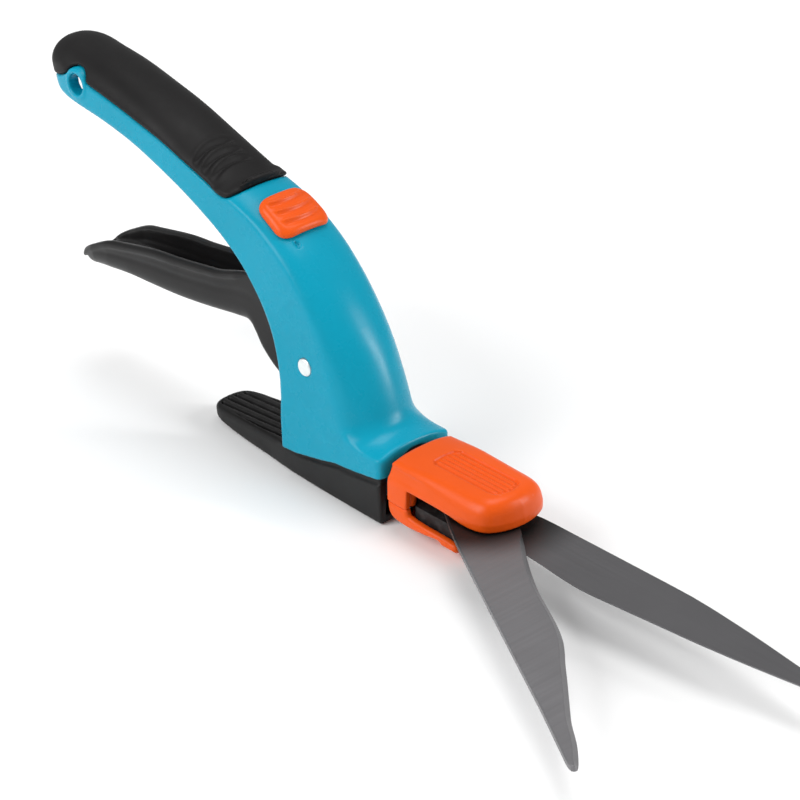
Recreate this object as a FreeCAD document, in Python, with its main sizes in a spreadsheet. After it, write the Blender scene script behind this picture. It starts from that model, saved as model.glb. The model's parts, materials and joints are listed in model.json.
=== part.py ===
import FreeCAD, Part
import math
import os

# Grass shears with a rotating blade head.
# Frame: +X forward to the blade tips, +Y left, +Z up, millimetres.
# Origin: middle of the flat underside of the sole, on the ground.
# The head turns about the X axis line at height axle_z, the blades pivot about a vertical bolt.

V = FreeCAD.Vector
doc = FreeCAD.newDocument("grass_shears")
sheet = doc.addObject("Spreadsheet::Sheet", "Dims")
D = {}
_row = [0]


def cell(alias, value, note=""):
    _row[0] += 1
    r = _row[0]
    sheet.set("A%d" % r, alias)
    sheet.set("B%d" % r, "%.6g" % value)
    sheet.set("C%d" % r, note)
    sheet.setAlias("B%d" % r, alias)
    D[alias] = float("%.6g" % value)


# ---- driving dimensions -------------------------------------------------
cell("axle_z", 14.4, "height of the head swivel axis and of the blade plane")
cell("head_rear", 40.0, "rear face of the blade head")
cell("pivot_x", 60.0, "blade pivot bolt")
cell("blade_open", 32.4, "angle between the blades at rest, degrees")
cell("blade_thick", 2.0, "blade sheet thickness")
cell("blade_gap", 0.3, "gap between the two blades")
cell("lever_x", 3.0, "squeeze lever pin")
cell("lever_z", 43.7, "squeeze lever pin")
cell("lever_travel", 24.0, "squeeze travel, degrees")
cell("short_arm", 12.0, "lever pin to cross pin")
cell("drive_arm", 8.94, "blade pivot to drive pin")
cell("neck_rad", 6.5, "swivel neck outside radius")
cell("neck_bore", 2.4, "swivel neck bore radius")
cell("rod_rad", 1.75, "push rod radius")
cell("collar_rad", 4.0, "push rod collar radius")
cell("fit_gap", 0.05, "radial clearance of turning fits")
cell("bolt_rad", 3.0, "blade pivot bolt radius")
cell("wall_shell", 2.4, "handle shell wall")
cell("grip_thick", 2.6, "soft grip thickness")
cell("head_half", 14.2, "head cover half width")
cell("head_nose", 87.3, "front of the head cover")
cell("head_top", 26.6, "top of the head cover")
cell("slot_top", 18.1, "upper edge of the side slot")
cell("slot_low", 11.1, "lower edge of the side slot at the rear")
cell("sole_floor", 3.0, "sole floor thickness")
cell("hang_x", -111.5, "hanging hole")
cell("hang_z", 103.9, "hanging hole")
cell("hang_rad", 3.4, "hanging hole radius")
cell("slide_x", -17.8, "thumb slider centre on the crown")
cell("slide_z", 85.4, "thumb slider centre on the crown")
cell("slide_len", 16.6, "thumb slider length")
cell("slide_travel", 5.0, "thumb slider travel")
cell("spring_x", -8.0, "return spring axis")
cell("spring_lo", 51.3, "return spring lower end")
cell("spring_hi", 75.8, "return spring upper end")
cell("spring_rad", 3.7, "return spring mean radius")
cell("spring_wire", 0.6, "return spring wire radius")
doc.recompute()


class Q(float):
    """A length with the spreadsheet expression that drives it."""

    def __new__(cls, value, expr):
        q = float.__new__(cls, value)
        q.expr = expr
        return q


def q(alias, add=0.0, mul=1.0):
    return Q(D[alias] * mul + add, "Dims.%s * %.9g + %.9g" % (alias, mul, add))


def bind(obj, prop, value):
    if isinstance(value, Q):
        obj.setExpression(prop, value.expr)
    else:
        path = prop.split(".")
        if len(path) == 1:
            setattr(obj, prop, float(value))
        else:
            obj.setExpression(prop, "%.9g" % value)


# ---- small helpers around PartDesign ------------------------------------
def new_body(label):
    b = doc.addObject("PartDesign::Body", "B_" + label)
    b.Label = label
    return b


def plane(body, role):
    for f in body.Origin.OriginFeatures:
        if f.Role == role:
            return f
    raise RuntimeError("no plane " + role)


def sketch(body, name, role, off=(0.0, 0.0, 0.0)):
    s = body.newObject("Sketcher::SketchObject", name)
    s.AttachmentSupport = [(plane(body, role), "")]
    s.MapMode = "FlatFace"
    s.AttachmentOffset = FreeCAD.Placement(V(*[float(o) for o in off]), FreeCAD.Rotation())
    for axis, o in zip("xyz", off):
        if isinstance(o, Q):
            s.setExpression("AttachmentOffset.Base." + axis, o.expr)
    return s


def pin_point(s, geo, pos, x, y):
    import Sketcher
    for kind, v in (("DistanceX", x), ("DistanceY", y)):
        i = s.addConstraint(Sketcher.Constraint(kind, -1, 1, geo, pos, float(v)))
        if isinstance(v, Q):
            s.setExpression("Constraints[%d]" % i, v.expr)


def add_poly(s, pts):
    import Sketcher
    first = s.GeometryCount
    n = len(pts)
    for i in range(n):
        a, b = pts[i], pts[(i + 1) % n]
        s.addGeometry(Part.LineSegment(V(float(a[0]), float(a[1]), 0), V(float(b[0]), float(b[1]), 0)), False)
    for i in range(n):
        s.addConstraint(Sketcher.Constraint("Coincident", first + i, 2, first + (i + 1) % n, 1))
    for i in range(n):
        pin_point(s, first + i, 1, pts[i][0], pts[i][1])
    return s


def add_circle(s, x, y, r):
    import Sketcher
    g = s.addGeometry(Part.Circle(V(float(x), float(y), 0), V(0, 0, 1), float(r)), False)
    pin_point(s, g, 3, x, y)
    i = s.addConstraint(Sketcher.Constraint("Radius", g, float(r)))
    if isinstance(r, Q):
        s.setExpression("Constraints[%d]" % i, r.expr)
    return s


def rect(x0, y0, x1, y1):
    return [(x0, y0), (x1, y0), (x1, y1), (x0, y1)]


def pad(body, sk, length, sym=False, rev=False):
    f = body.newObject("PartDesign::Pad", sk.Name + "_pad")
    f.Profile = sk
    bind(f, "Length", length)
    if sym:
        f.SideType = "Symmetric" if "Symmetric" in f.getEnumerationsOfProperty("SideType") else f.getEnumerationsOfProperty("SideType")[-1]
    f.Reversed = rev
    sk.Visibility = False
    doc.recompute()
    body.Tip = f
    return f


def volume(body):
    return body.Shape.Volume


def pocket(body, sk, length, sym=False, rev=False):
    before = volume(body)
    f = body.newObject("PartDesign::Pocket", sk.Name + "_cut")
    f.Profile = sk
    bind(f, "Length", length)
    if sym:
        f.SideType = "Symmetric" if "Symmetric" in f.getEnumerationsOfProperty("SideType") else f.getEnumerationsOfProperty("SideType")[-1]
    f.Reversed = rev
    doc.recompute()
    body.Tip = f
    if not volume(body) < before - 0.05:
        raise RuntimeError("pocket %s cuts nothing" % sk.Name)
    return f


def revolve(body, sk, axis="H_Axis", angle=360.0):
    f = body.newObject("PartDesign::Revolution", sk.Name + "_rev")
    f.Profile = sk
    f.ReferenceAxis = (sk, [axis])
    f.Angle = angle
    doc.recompute()
    body.Tip = f
    return f


def edges_where(shape, test):
    out = []
    for i, e in enumerate(shape.Edges):
        if test(e):
            out.append("Edge%d" % (i + 1))
    return out


def fillet(body, base, names, radius, kind="PartDesign::Fillet"):
    if not names:
        raise RuntimeError("no edges to round on " + body.Label)
    f = body.newObject(kind, body.Label + "_round%d" % len(body.Group))
    f.Base = (base, names)
    bind(f, "Radius" if kind.endswith("Fillet") else "Size", radius)
    doc.recompute()
    if "Invalid" in f.State or "Error" in f.State or f.Shape.isNull():
        raise RuntimeError("fillet failed on " + body.Label)
    body.Tip = f
    return f


NODES = []


def keep(obj, node=None):
    if node:
        obj.Label = node
    NODES.append(obj)
    return obj


def feature(label, shape, at=(0.0, 0.0, 0.0)):
    f = doc.addObject("Part::Feature", "F_" + label)
    f.Label = label
    f.Shape = shape
    f.Placement = FreeCAD.Placement(V(*at), FreeCAD.Rotation())
    return keep(f)


def turned_x(label, prof, z=None):
    """A part turned about the swivel axis; prof holds (x, radius)."""
    b = new_body(label)
    s = sketch(b, label + "_profile", "XZ_Plane", (0, z if z is not None else q("axle_z"), 0))
    add_poly(s, prof)
    revolve(b, s, "H_Axis")
    return keep(b)


def turned_z(label, x, y, prof):
    """A part turned about a vertical axis at (x, y); prof holds (radius, z)."""
    b = new_body(label)
    s = sketch(b, label + "_profile", "XZ_Plane")
    add_poly(s, prof)
    revolve(b, s, "V_Axis")
    b.Placement = FreeCAD.Placement(V(float(x), float(y), 0), FreeCAD.Rotation())
    for axis, v in (("x", x), ("y", y)):
        if isinstance(v, Q):
            b.setExpression("Placement.Base." + axis, v.expr)
    return keep(b)


AZ = D["axle_z"]

# ======================= handle shell and soft grip ======================
# Stations along the handle: rear or lower edge, front or top point, half width, crown height.
STATIONS = [
    ((-8.8, 20.0), (31.5, 22.0), 15.2, 13.0),
    ((-9.0, 30.0), (29.0, 31.0), 15.0, 13.0),
    ((-10.2, 40.0), (25.2, 41.0), 14.8, 13.0),
    ((-13.6, 50.0), (20.6, 50.4), 14.4, 12.2),
    ((-19.0, 58.8), (14.4, 59.1), 14.0, 11.0),
    ((-27.0, 67.3), (6.0, 68.4), 13.7, 9.8),
    ((-36.0, 73.8), (-5.0, 78.1), 13.4, 8.6),
    ((-46.0, 78.6), (-20.0, 86.7), 13.0, 7.4),
    ((-57.0, 83.2), (-39.2, 92.9), 12.8, 6.8),
    ((-69.0, 87.2), (-55.0, 98.9), 12.6, 7.0),
    ((-81.0, 90.8), (-70.8, 104.9), 12.5, 7.6),
    ((-92.0, 93.3), (-86.1, 109.0), 12.5, 8.2),
    ((-102.0, 94.9), (-100.3, 112.1), 12.5, 8.6),
    ((-111.0, 95.9), (-113.4, 113.7), 12.4, 8.8),
    ((-118.3, 96.8), (-121.4, 114.8), 11.9, 9.0),
    ((-124.4, 98.4), (-127.8, 113.6), 10.6, 8.0),
    ((-129.0, 101.2), (-132.6, 110.4), 7.6, 5.0),
]


def section(st, inset=0.0, corner=2.5, n=7, open_rear=False):
    """Closed outline of one station: flat sides, crowned top, small lower corners.
    With open_rear the outline runs out past the rear edge, to cut a channel."""
    (rx, rz), (fx, fz), w, c = st
    d = V(fx - rx, 0, fz - rz)
    h = d.Length
    d.normalize()
    r0 = V(rx, 0, rz)
    w = w - inset
    lo = -4.0 if open_rear else inset
    hi = h - inset
    k = min(corner, w * 0.5, (h - 2 * inset) * 0.3)
    c = max(min(c, h - 2 * inset - k - 0.8), 0.8)
    pts = [(w - k, lo), (w - 0.3 * k, lo + 0.3 * k), (w, lo + k)]
    for i in range(n + 1):
        t = i / float(n) * math.pi / 2
        pts.append((w * math.cos(t) ** 0.9, hi - c + c * math.sin(t)))
    full = [(-y, v) for (y, v) in pts] + [(y, v) for (y, v) in reversed(pts[:-1])]
    return [r0 + d * v + V(0, y, 0) for (y, v) in full]


def loft(stations, inset=0.0, corner=2.5, open_to=0, last_inset=None):
    wires = []
    for i, st in enumerate(stations):
        deep = last_inset if last_inset is not None and i == len(stations) - 1 else inset
        p = section(st, deep, corner, open_rear=i < open_to)
        wires.append(Part.makePolygon(p + [p[0]]))
    s = Part.makeLoft(wires, True, False)
    if s.Volume < 0:
        s.reverse()
    return s


def prism_y(pts, y0, y1):
    w = Part.makePolygon([V(x, y0, z) for x, z in pts] + [V(pts[0][0], y0, pts[0][1])])
    return Part.Face(w).extrude(V(0, y1 - y0, 0))


def cyl(r, length, base, direction):
    return Part.makeCylinder(r, length, base, direction)


wall = D["wall_shell"]
grip_t = D["grip_thick"]
outer = loft(STATIONS)

# Line between the soft grip and the shell along the side.
GRIP_LINE = [(-140.0, 101.4), (-127.0, 102.6), (-121.0, 104.2), (-117.3, 106.2), (-115.2, 108.6), (-111.5, 109.6), (-107.9, 108.4), (-105.8, 105.6), (-99.0, 104.2),
             (-88.8, 102.2), (-78.6, 99.9), (-68.5, 97.6), (-58.6, 94.7), (-48.8, 91.8), (-43.8, 90.6),
             (-38.0, 89.7), (-35.0, 90.2), (-33.3, 91.8), (-32.6, 95.0), (-32.4, 104.0)]
above = prism_y(GRIP_LINE + [(-32.4, 140.0), (-140.0, 140.0)], -30, 30)
core = loft(STATIONS[6:-1], inset=grip_t)
grip_zone = outer.common(above)
grip = grip_zone.cut(core)
grip = max(grip.Solids, key=lambda k: k.Volume)

# Shell: outside less the grip, hollow, open along its rear edge in the neck.
in_neck = loft(STATIONS[:9], inset=wall, corner=0.6, open_to=8, last_inset=grip_t + wall - 0.2)
in_handle = loft(STATIONS[8:13], inset=grip_t + wall - 0.2, corner=1.0)
shell = outer.cut(grip_zone).fuse(core.common(above))
shell = max(shell.Solids, key=lambda k: k.Volume)
# Front block with an arched top that meets the head.
arch = []
for i in range(13):
    a = math.radians(-78 + 13 * i)
    arch.append(V(0, 15.3 * math.sin(a) / math.sin(math.radians(78)), 24.3 + 2.5 * (math.cos(a) - math.cos(math.radians(78))) / (1 - math.cos(math.radians(78)))))
lowz = 9.0
blk = Part.makePolygon([V(18, p.y, p.z) for p in arch] + [V(18, 15.3, 19), V(18, 14.6, lowz), V(18, -14.6, lowz), V(18, -15.3, 19), V(18, arch[0].y, arch[0].z)])
block = Part.Face(blk).extrude(V(20.7, 0, 0))
skirt = prism_y([(-8.8, 24.0), (-8.8, 9.0), (22.0, 9.0), (22.0, 24.0)], -15.2, 15.2)
low = block.fuse(skirt)
# Sloping bottom edge that sits on the sole.
BOTTOM = [(-9.7, 10.55), (-0.9, 11.05), (10.8, 13.55), (17.0, 14.95), (25.9, 15.75), (38.9, 17.75)]
low = low.cut(prism_y([(-20, 0), (-20, 10.4)] + BOTTOM + [(45, 17.9), (45, 0)], -20, 20))
hollow_low = prism_y([(-12, 5.0), (21.15, 5.0), (21.15, 24.0), (-12, 24.0)], -12.8, 12.8)
shell = shell.fuse(low)
neck_cut = in_neck.fuse(hollow_low)
# The rear of the neck is open for the lever; the hollow of the handle is closed below.
shell = shell.cut(neck_cut)
shell = shell.cut(in_handle.common(prism_y([(-61, 70), (-61, 125), (-104, 125), (-104, 70)], -20, 20)))
# Bearing chin round the swivel neck.
axis0 = V(21.15, 0, AZ)
chin = cyl(10.3, 17.55, axis0, V(1, 0, 0))
shell = shell.fuse(chin)
shell = shell.cut(cyl(D["neck_rad"] + 1.85, 30, V(15, 0, AZ), V(1, 0, 0)))
shell = shell.cut(cyl(9.85, 5, V(36.8, 0, AZ), V(1, 0, 0)))
# Seat of the return spring under the crown.
boss = cyl(4.9, 22, V(D["spring_x"], 0, D["spring_hi"] + 0.2), V(0, 0, 1)).common(outer)
shell = shell.fuse(boss)
# Lever pin holes, hanging hole, slider slot.
shell = shell.cut(cyl(3.0, 40, V(D["lever_x"], -20, D["lever_z"]), V(0, 1, 0)))
ring = cyl(5.3, 2 * 12.3, V(D["hang_x"], -12.3, D["hang_z"]), V(0, 1, 0))
grip = grip.cut(cyl(5.4, 60, V(D["hang_x"], -30, D["hang_z"]), V(0, 1, 0)))
grip = max(grip.Solids, key=lambda k: k.Volume)
shell = shell.fuse(ring)
shell = shell.cut(cyl(D["hang_rad"], 60, V(D["hang_x"], -30, D["hang_z"]), V(0, 1, 0)))
SL_ANG = 26.5  # slope of the crown under the slider
slide_place = FreeCAD.Placement(V(D["slide_x"], 0, D["slide_z"]), FreeCAD.Rotation(V(0, 1, 0), SL_ANG))
slot = Part.makeBox(9.8, 4.8, 12.0, V(-2.4, -2.4, -7.0))
slot.Placement = slide_place.multiply(slot.Placement)
shell = shell.cut(slot)
shell = max(shell.Solids, key=lambda k: k.Volume).removeSplitter()
body_shell = feature("body_shell", shell)
soft_grip = feature("soft_grip", grip)

# ============================== sole =====================================
b = new_body("sole_plate")
s = sketch(b, "sole_plan", "XY_Plane")
half = [(-53.0, 4.0), (-51.0, 7.2), (-45.0, 8.6), (-31.0, 9.9), (-20.0, 11.0), (-9.0, 12.2), (1.0, 12.8), (11.0, 13.3), (22.0, 13.6), (33.0, 13.9), (37.6, 13.9)]
add_poly(s, [(x, -y) for x, y in half] + [(x, y) for x, y in reversed(half)])
base = pad(b, s, 18.0)
s = sketch(b, "sole_top", "XZ_Plane")
add_poly(s, [(-60, 6.2), (-48, 6.6), (-10, 9.6), (-9.7, 10.35), (-0.9, 10.85), (10.8, 13.35), (17.0, 14.75), (25.9, 15.55), (38.9, 17.5), (39.5, 25), (-60, 25)])
pocket(b, s, 60.0, sym=True)
s = sketch(b, "sole_heel", "XZ_Plane")
add_poly(s, [(-60, -5), (-34, -5), (-34, 0.0), (-48, 1.6), (-60, 4.4)])
pocket(b, s, 60.0, sym=True)
s = sketch(b, "sole_hollow", "XY_Plane", (0, 0, q("sole_floor")))
inner = [(-6.0, 9.6), (11.0, 10.9), (40.0, 11.0)]
add_poly(s, [(x, -y) for x, y in inner] + [(x, y) for x, y in reversed(inner)])
pocket(b, s, 20.0, rev=True)
s = sketch(b, "sole_rib_gap", "XZ_Plane")
add_poly(s, [(-60, 5.2), (-48, 5.6), (-9.8, 8.7), (-9.8, 12), (-60, 12)])
groove = pocket(b, s, 1.2, sym=True)
pat = b.newObject("PartDesign::LinearPattern", "sole_ribs")
pat.Originals = [groove]
pat.Direction = (plane(b, "Y_Axis"), [""])
pat.Length = 6.4
pat.Occurrences = 3
doc.recompute()
v0 = groove.Shape.Volume
b.Tip = pat
doc.recompute()
if not b.Shape.Volume < v0 - 0.5:
    raise RuntimeError("sole pattern cuts nothing")
pat2 = b.newObject("PartDesign::LinearPattern", "sole_ribs_right")
pat2.Originals = [groove]
pat2.Direction = (plane(b, "Y_Axis"), [""])
pat2.Reversed = True
pat2.Length = 6.4
pat2.Occurrences = 3
doc.recompute()
b.Tip = pat2
doc.recompute()
# Screw holes through the floor.
s = sketch(b, "sole_screw_holes", "XY_Plane", (0, 0, -1))
add_circle(s, 14.0, 7.6, 1.6)
add_circle(s, 14.0, -7.6, 1.6)
pocket(b, s, 6.0, rev=True)
keep(b)


def screw_group(label, places, head_r, shank_r, z_head, head_h, length):
    """Identical screws, heads down, as separate solids in one compound."""
    parts = []
    for i, (x, y) in enumerate(places):
        h = doc.addObject("Part::Cylinder", "%s_head%d" % (label, i))
        h.Radius = head_r
        h.Height = head_h
        h.Placement = FreeCAD.Placement(V(x, y, z_head), FreeCAD.Rotation())
        k = doc.addObject("Part::Cylinder", "%s_shank%d" % (label, i))
        k.Radius = shank_r
        k.Height = length
        k.Placement = FreeCAD.Placement(V(x, y, z_head + head_h - 0.2), FreeCAD.Rotation())
        u = doc.addObject("Part::Fuse", "%s_screw%d" % (label, i))
        u.Base, u.Tool = h, k
        d = doc.addObject("Part::Box", "%s_drive%d" % (label, i))
        d.Length, d.Width, d.Height = head_r * 1.3, 0.7, 0.6
        d.Placement = FreeCAD.Placement(V(x - head_r * 0.65, y - 0.35, z_head - 0.01), FreeCAD.Rotation())
        c = doc.addObject("Part::Cut", "%s_slotted%d" % (label, i))
        c.Base, c.Tool = u, d
        parts.append(c)
    g = doc.addObject("Part::Compound", "G_" + label)
    g.Links = parts
    g.Label = label
    return keep(g)


# ============================ lever pin ==================================
def turned_y(label, prof):
    """A part turned about the lever pin axis; prof holds (radius, depth along -Y)."""
    b = new_body(label)
    s = sketch(b, label + "_profile", "YZ_Plane")
    add_poly(s, [(y, r) for r, y in prof])
    revolve(b, s, "H_Axis")
    b.Placement = FreeCAD.Placement(V(D["lever_x"], 0, D["lever_z"]), FreeCAD.Rotation())
    b.setExpression("Placement.Base.x", "Dims.lever_x")
    b.setExpression("Placement.Base.z", "Dims.lever_z")
    return keep(b)


turned_y("lever_pin", [(0, -14.9), (2.6, -14.9), (2.95, -14.6), (2.95, -12.9), (2.0, -12.9), (2.0, 12.6), (0, 12.6)])
turned_y("lever_pin_cap", [(2.0, 9.4), (2.0, 12.7), (0, 12.7), (0, 14.9), (2.6, 14.9), (2.95, 14.6), (2.95, 11.8), (3.6, 11.8), (3.6, 9.4)])

# ============================ swivel group ===============================
nr = D["neck_rad"]
turned_x("swivel_bush", [(21.2, q("neck_rad", 0.05)), (21.2, q("neck_rad", 1.8)), (36.9, q("neck_rad", 1.8)), (36.9, 9.8), (38.6, 9.8), (38.6, q("neck_rad", 0.05))])
turned_x("swivel_neck", [(18.0, q("neck_bore")), (18.0, q("neck_rad")), (19.15, q("neck_rad")), (19.15, q("neck_rad", -0.9)), (20.85, q("neck_rad", -0.9)), (20.85, q("neck_rad")),
                         (42.1, q("neck_rad")), (42.1, 8.0), (44.1, 8.0), (44.1, q("neck_bore"))])
turned_x("retaining_ring", [(19.2, q("neck_rad", -0.9)), (19.2, 8.9), (20.8, 8.9), (20.8, q("neck_rad", -0.9))])

# ============================ head housing ===============================
nose = [(76.0, 14.2), (80.5, 13.6), (83.6, 11.4), (85.4, 7.8), (86.7, 4.0), (q("head_nose"), 0.0)]
plan = [(40.0, 13.6), (44.0, 14.2)] + nose
b = new_body("head_cover")
s = sketch(b, "cover_plan", "XY_Plane", (0, 0, q("slot_top", -1.2)))
add_poly(s, [(x, -y) for x, y in plan] + [(x, y) for x, y in reversed(plan[:-1])])
base = pad(b, s, q("head_top", -(D["slot_top"] - 1.2)))
# The side edge rises behind the nose to open the slot.
s = sketch(b, "cover_slot_edge", "XZ_Plane")
add_poly(s, [(30, 10), (74.0, 10), (74.0, 16.9), (70.0, 17.8), (66.0, q("slot_top")), (30, q("slot_top"))])
pocket(b, s, 60.0, sym=True)
s = sketch(b, "cover_rear", "XY_Plane", (0, 0, q("slot_low", 0.1)))
add_poly(s, [(40.0, -13.6), (44.0, -14.2), (49.0, -14.2), (49.0, 14.2), (44.0, 14.2), (40.0, 13.6)])
pad(b, s, q("slot_top", -D["slot_low"]))
top = b.Tip.Shape
fillet(b, b.Tip, edges_where(top, lambda e: abs(e.BoundBox.ZMax - D["head_top"]) < 1e-3 and abs(e.BoundBox.ZMin - D["head_top"]) < 1e-3), 2.6)
s = sketch(b, "cover_cavity", "XY_Plane", (0, 0, q("slot_low", -1.0)))
cav = [(42.05, 12.0), (72.0, 12.2), (79.0, 11.6), (82.0, 9.0), (84.0, 4.0), (84.4, 0.0)]
add_poly(s, [(x, -y) for x, y in cav] + [(x, y) for x, y in reversed(cav[:-1])])
pocket(b, s, q("head_top", -D["slot_low"] + 1.0 - 2.0), rev=True)
s = sketch(b, "cover_neck_hole", "YZ_Plane", (0, 0, 38.0))
add_circle(s, 0.0, q("axle_z"), q("neck_rad", 0.05))
pocket(b, s, 5.0, rev=True)
s = sketch(b, "cover_recess", "XY_Plane", (0, 0, q("head_top", -0.7)))
add_poly(s, [(54.0, -5.6), (78.5, -5.6), (80.2, -4.0), (80.8, 0.0), (80.2, 4.0), (78.5, 5.6), (54.0, 5.6), (52.0, 3.6), (52.0, -3.6)])
pocket(b, s, 3.0, rev=True)
s = sketch(b, "cover_rib", "XY_Plane", (0, 0, q("head_top", -0.8)))
add_poly(s, rect(55.0, -4.5, 78.2, -3.3))
rib = pad(b, s, 0.7)
pat = b.newObject("PartDesign::LinearPattern", "cover_ribs")
pat.Originals = [rib]
pat.Direction = (plane(b, "Y_Axis"), [""])
pat.Length = 7.8
pat.Occurrences = 5
doc.recompute()
b.Tip = pat
doc.recompute()
# Screw bosses in the rear corners.
s = sketch(b, "cover_boss", "XY_Plane", (0, 0, q("slot_low", 0.1)))
add_circle(s, 46.6, 10.2, 2.3)
add_circle(s, 46.6, -10.2, 2.3)
pad(b, s, 5.2)
s = sketch(b, "cover_boss_hole", "XY_Plane", (0, 0, q("slot_low", -1.0)))
add_circle(s, 46.6, 10.2, 1.2)
add_circle(s, 46.6, -10.2, 1.2)
pocket(b, s, 5.2, rev=True)
keep(b)

b = new_body("head_base")
s = sketch(b, "base_side", "XZ_Plane")
add_poly(s, [(40.0, 7.6), (41.5, 5.6), (45.0, 4.8), (50.0, 4.6), (57.0, 5.0), (62.6, 5.4), (64.4, 3.2), (69.8, 3.2), (70.6, 4.4), (70.2, 8.3), (68.0, 8.6), (58.0, 10.2), (49.6, q("slot_low")), (40.0, q("slot_low"))])
pad(b, s, 26.8, sym=True)
fillet(b, b.Tip, edges_where(b.Tip.Shape, lambda e: e.BoundBox.ZMax < 8.0 and e.BoundBox.YLength < 1e-3 and e.BoundBox.XMax < 63.0), 2.4)
s = sketch(b, "base_cavity", "XY_Plane", (0, 0, 6.3))
add_poly(s, [(42.05, -11.2), (75.0, -11.2), (75.0, 11.2), (42.05, 11.2)])
pocket(b, s, 10.0, rev=True)
s = sketch(b, "base_neck_hole", "YZ_Plane", (0, 0, 38.0))
add_circle(s, 0.0, q("axle_z"), q("neck_rad", 0.05))
pocket(b, s, 5.0, rev=True)
s = sketch(b, "base_screw_holes", "XY_Plane", (0, 0, 0))
add_circle(s, 46.6, 10.2, 2.5)
add_circle(s, 46.6, -10.2, 2.5)
pocket(b, s, 5.9, rev=True)
s = sketch(b, "base_screw_shanks", "XY_Plane", (0, 0, 0))
add_circle(s, 46.6, 10.2, 1.3)
add_circle(s, 46.6, -10.2, 1.3)
pocket(b, s, 12.0, rev=True)
keep(b)
screw_group("head_screws", [(46.6, 10.2), (46.6, -10.2)], 2.2, 1.1, 4.5, 1.3, 8.5)
screw_group("sole_screws", [(14.0, 7.6), (14.0, -7.6)], 2.6, 1.4, 3.05, 1.6, 4.0)

# Black insert that holds the blades.
b = new_body("blade_carrier")
s = sketch(b, "carrier_plan", "XY_Plane", (0, 0, 6.6))
cp = [(45.4, 6.4), (49.4, 7.0), (50.4, 11.0), (72.0, 11.0)]
add_poly(s, [(x, -y) for x, y in cp] + [(x, y) for x, y in reversed(cp)])
pad(b, s, 5.5)
s = sketch(b, "carrier_nose", "XY_Plane", (0, 0, 8.9))
cp = [(71.5, 11.0), (76.0, 12.6), (81.0, 12.0), (85.0, 8.0), (86.5, 3.0)]
add_poly(s, [(x, -y) for x, y in cp] + [(x, y) for x, y in reversed(cp)])
pad(b, s, 3.2)
s = sketch(b, "carrier_nut_pocket", "XY_Plane", (0, 0, 5.0))
add_circle(s, q("pivot_x"), 0.0, 5.4)
pocket(b, s, 5.0, rev=True)
s = sketch(b, "carrier_holes", "XY_Plane", (0, 0, 5.0))
add_circle(s, q("pivot_x"), 0.0, q("bolt_rad", 0.05))
add_circle(s, 74.0, 6.0, 1.6)
add_circle(s, 74.0, -6.0, 1.6)
pocket(b, s, 10.0, rev=True)
keep(b)

# ============================== blades ===================================
zc = D["axle_z"]
b = new_body("lower_blade")
s = sketch(b, "lower_blade_plan", "XY_Plane", (0, 0, q("axle_z", -D["blade_gap"] / 2 - D["blade_thick"])))
add_poly(s, [(54.6, -6.6), (56.4, -8.4), (84.0, -8.6), (92.0, -8.3), (100.9, -9.0), (111.0, -10.2), (120.8, -10.8), (134.3, -9.6), (149.4, -8.2), (163.2, -6.9), (177.0, -5.2), (189.2, -3.4), (198.5, -1.9), (209.6, 0.4),
             (211.6, 1.6), (211.2, 2.6), (193.0, 5.4), (174.5, 8.0), (152.0, 10.3), (140.0, 10.7), (85.0, 10.5), (80.0, 9.0), (56.4, 8.4), (54.6, 6.6)])
pad(b, s, q("blade_thick"))
s = sketch(b, "lower_blade_holes", "XY_Plane", (0, 0, 10.0))
add_circle(s, q("pivot_x"), 0.0, q("bolt_rad", 0.05))
add_circle(s, 74.0, 6.0, 1.6)
add_circle(s, 74.0, -6.0, 1.6)
pocket(b, s, 10.0, rev=True)
keep(b)

OPEN = math.radians(D["blade_open"])
b = new_body("upper_blade")
s = sketch(b, "upper_blade_plan", "XY_Plane", (0, 0, q("axle_z", D["blade_gap"] / 2)))
add_poly(s, [(-5.0, -3.0), (-1.5, -6.4), (4.0, -7.6), (26.5, -7.7), (52.0, -6.3), (77.0, -4.7), (98.0, -3.35), (118.0, -2.05), (144.5, -0.8), (147.6, -0.1), (147.9, 1.0), (147.0, 2.0),
             (135.5, 4.4), (126.0, 5.2), (118.7, 6.4), (107.0, 8.6), (96.4, 10.4), (89.0, 11.8), (81.5, 12.5), (71.0, 12.2), (62.0, 11.5), (55.0, 11.2), (47.0, 11.4), (39.0, 11.9), (31.0, 12.8), (23.0, 13.2),
             (10.0, 12.4), (-2.6, 11.7), (-5.0, 9.6), (-5.9, 3.0)])
pad(b, s, q("blade_thick"))
s = sketch(b, "upper_blade_holes", "XY_Plane", (0, 0, 12.0))
add_circle(s, 0.0, 0.0, 4.2)
pin_a = math.radians(90 + D["blade_open"] / 2)
add_circle(s, q("drive_arm", 0, math.cos(pin_a)), q("drive_arm", 0, math.sin(pin_a)), 1.4)
pocket(b, s, 10.0, rev=True)
b.Placement = FreeCAD.Placement(V(D["pivot_x"], 0, 0), FreeCAD.Rotation(V(0, 0, 1), -D["blade_open"]))
b.setExpression("Placement.Base.x", "Dims.pivot_x")
b.setExpression("Placement.Rotation.Angle", "-Dims.blade_open")
keep(b)

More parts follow.
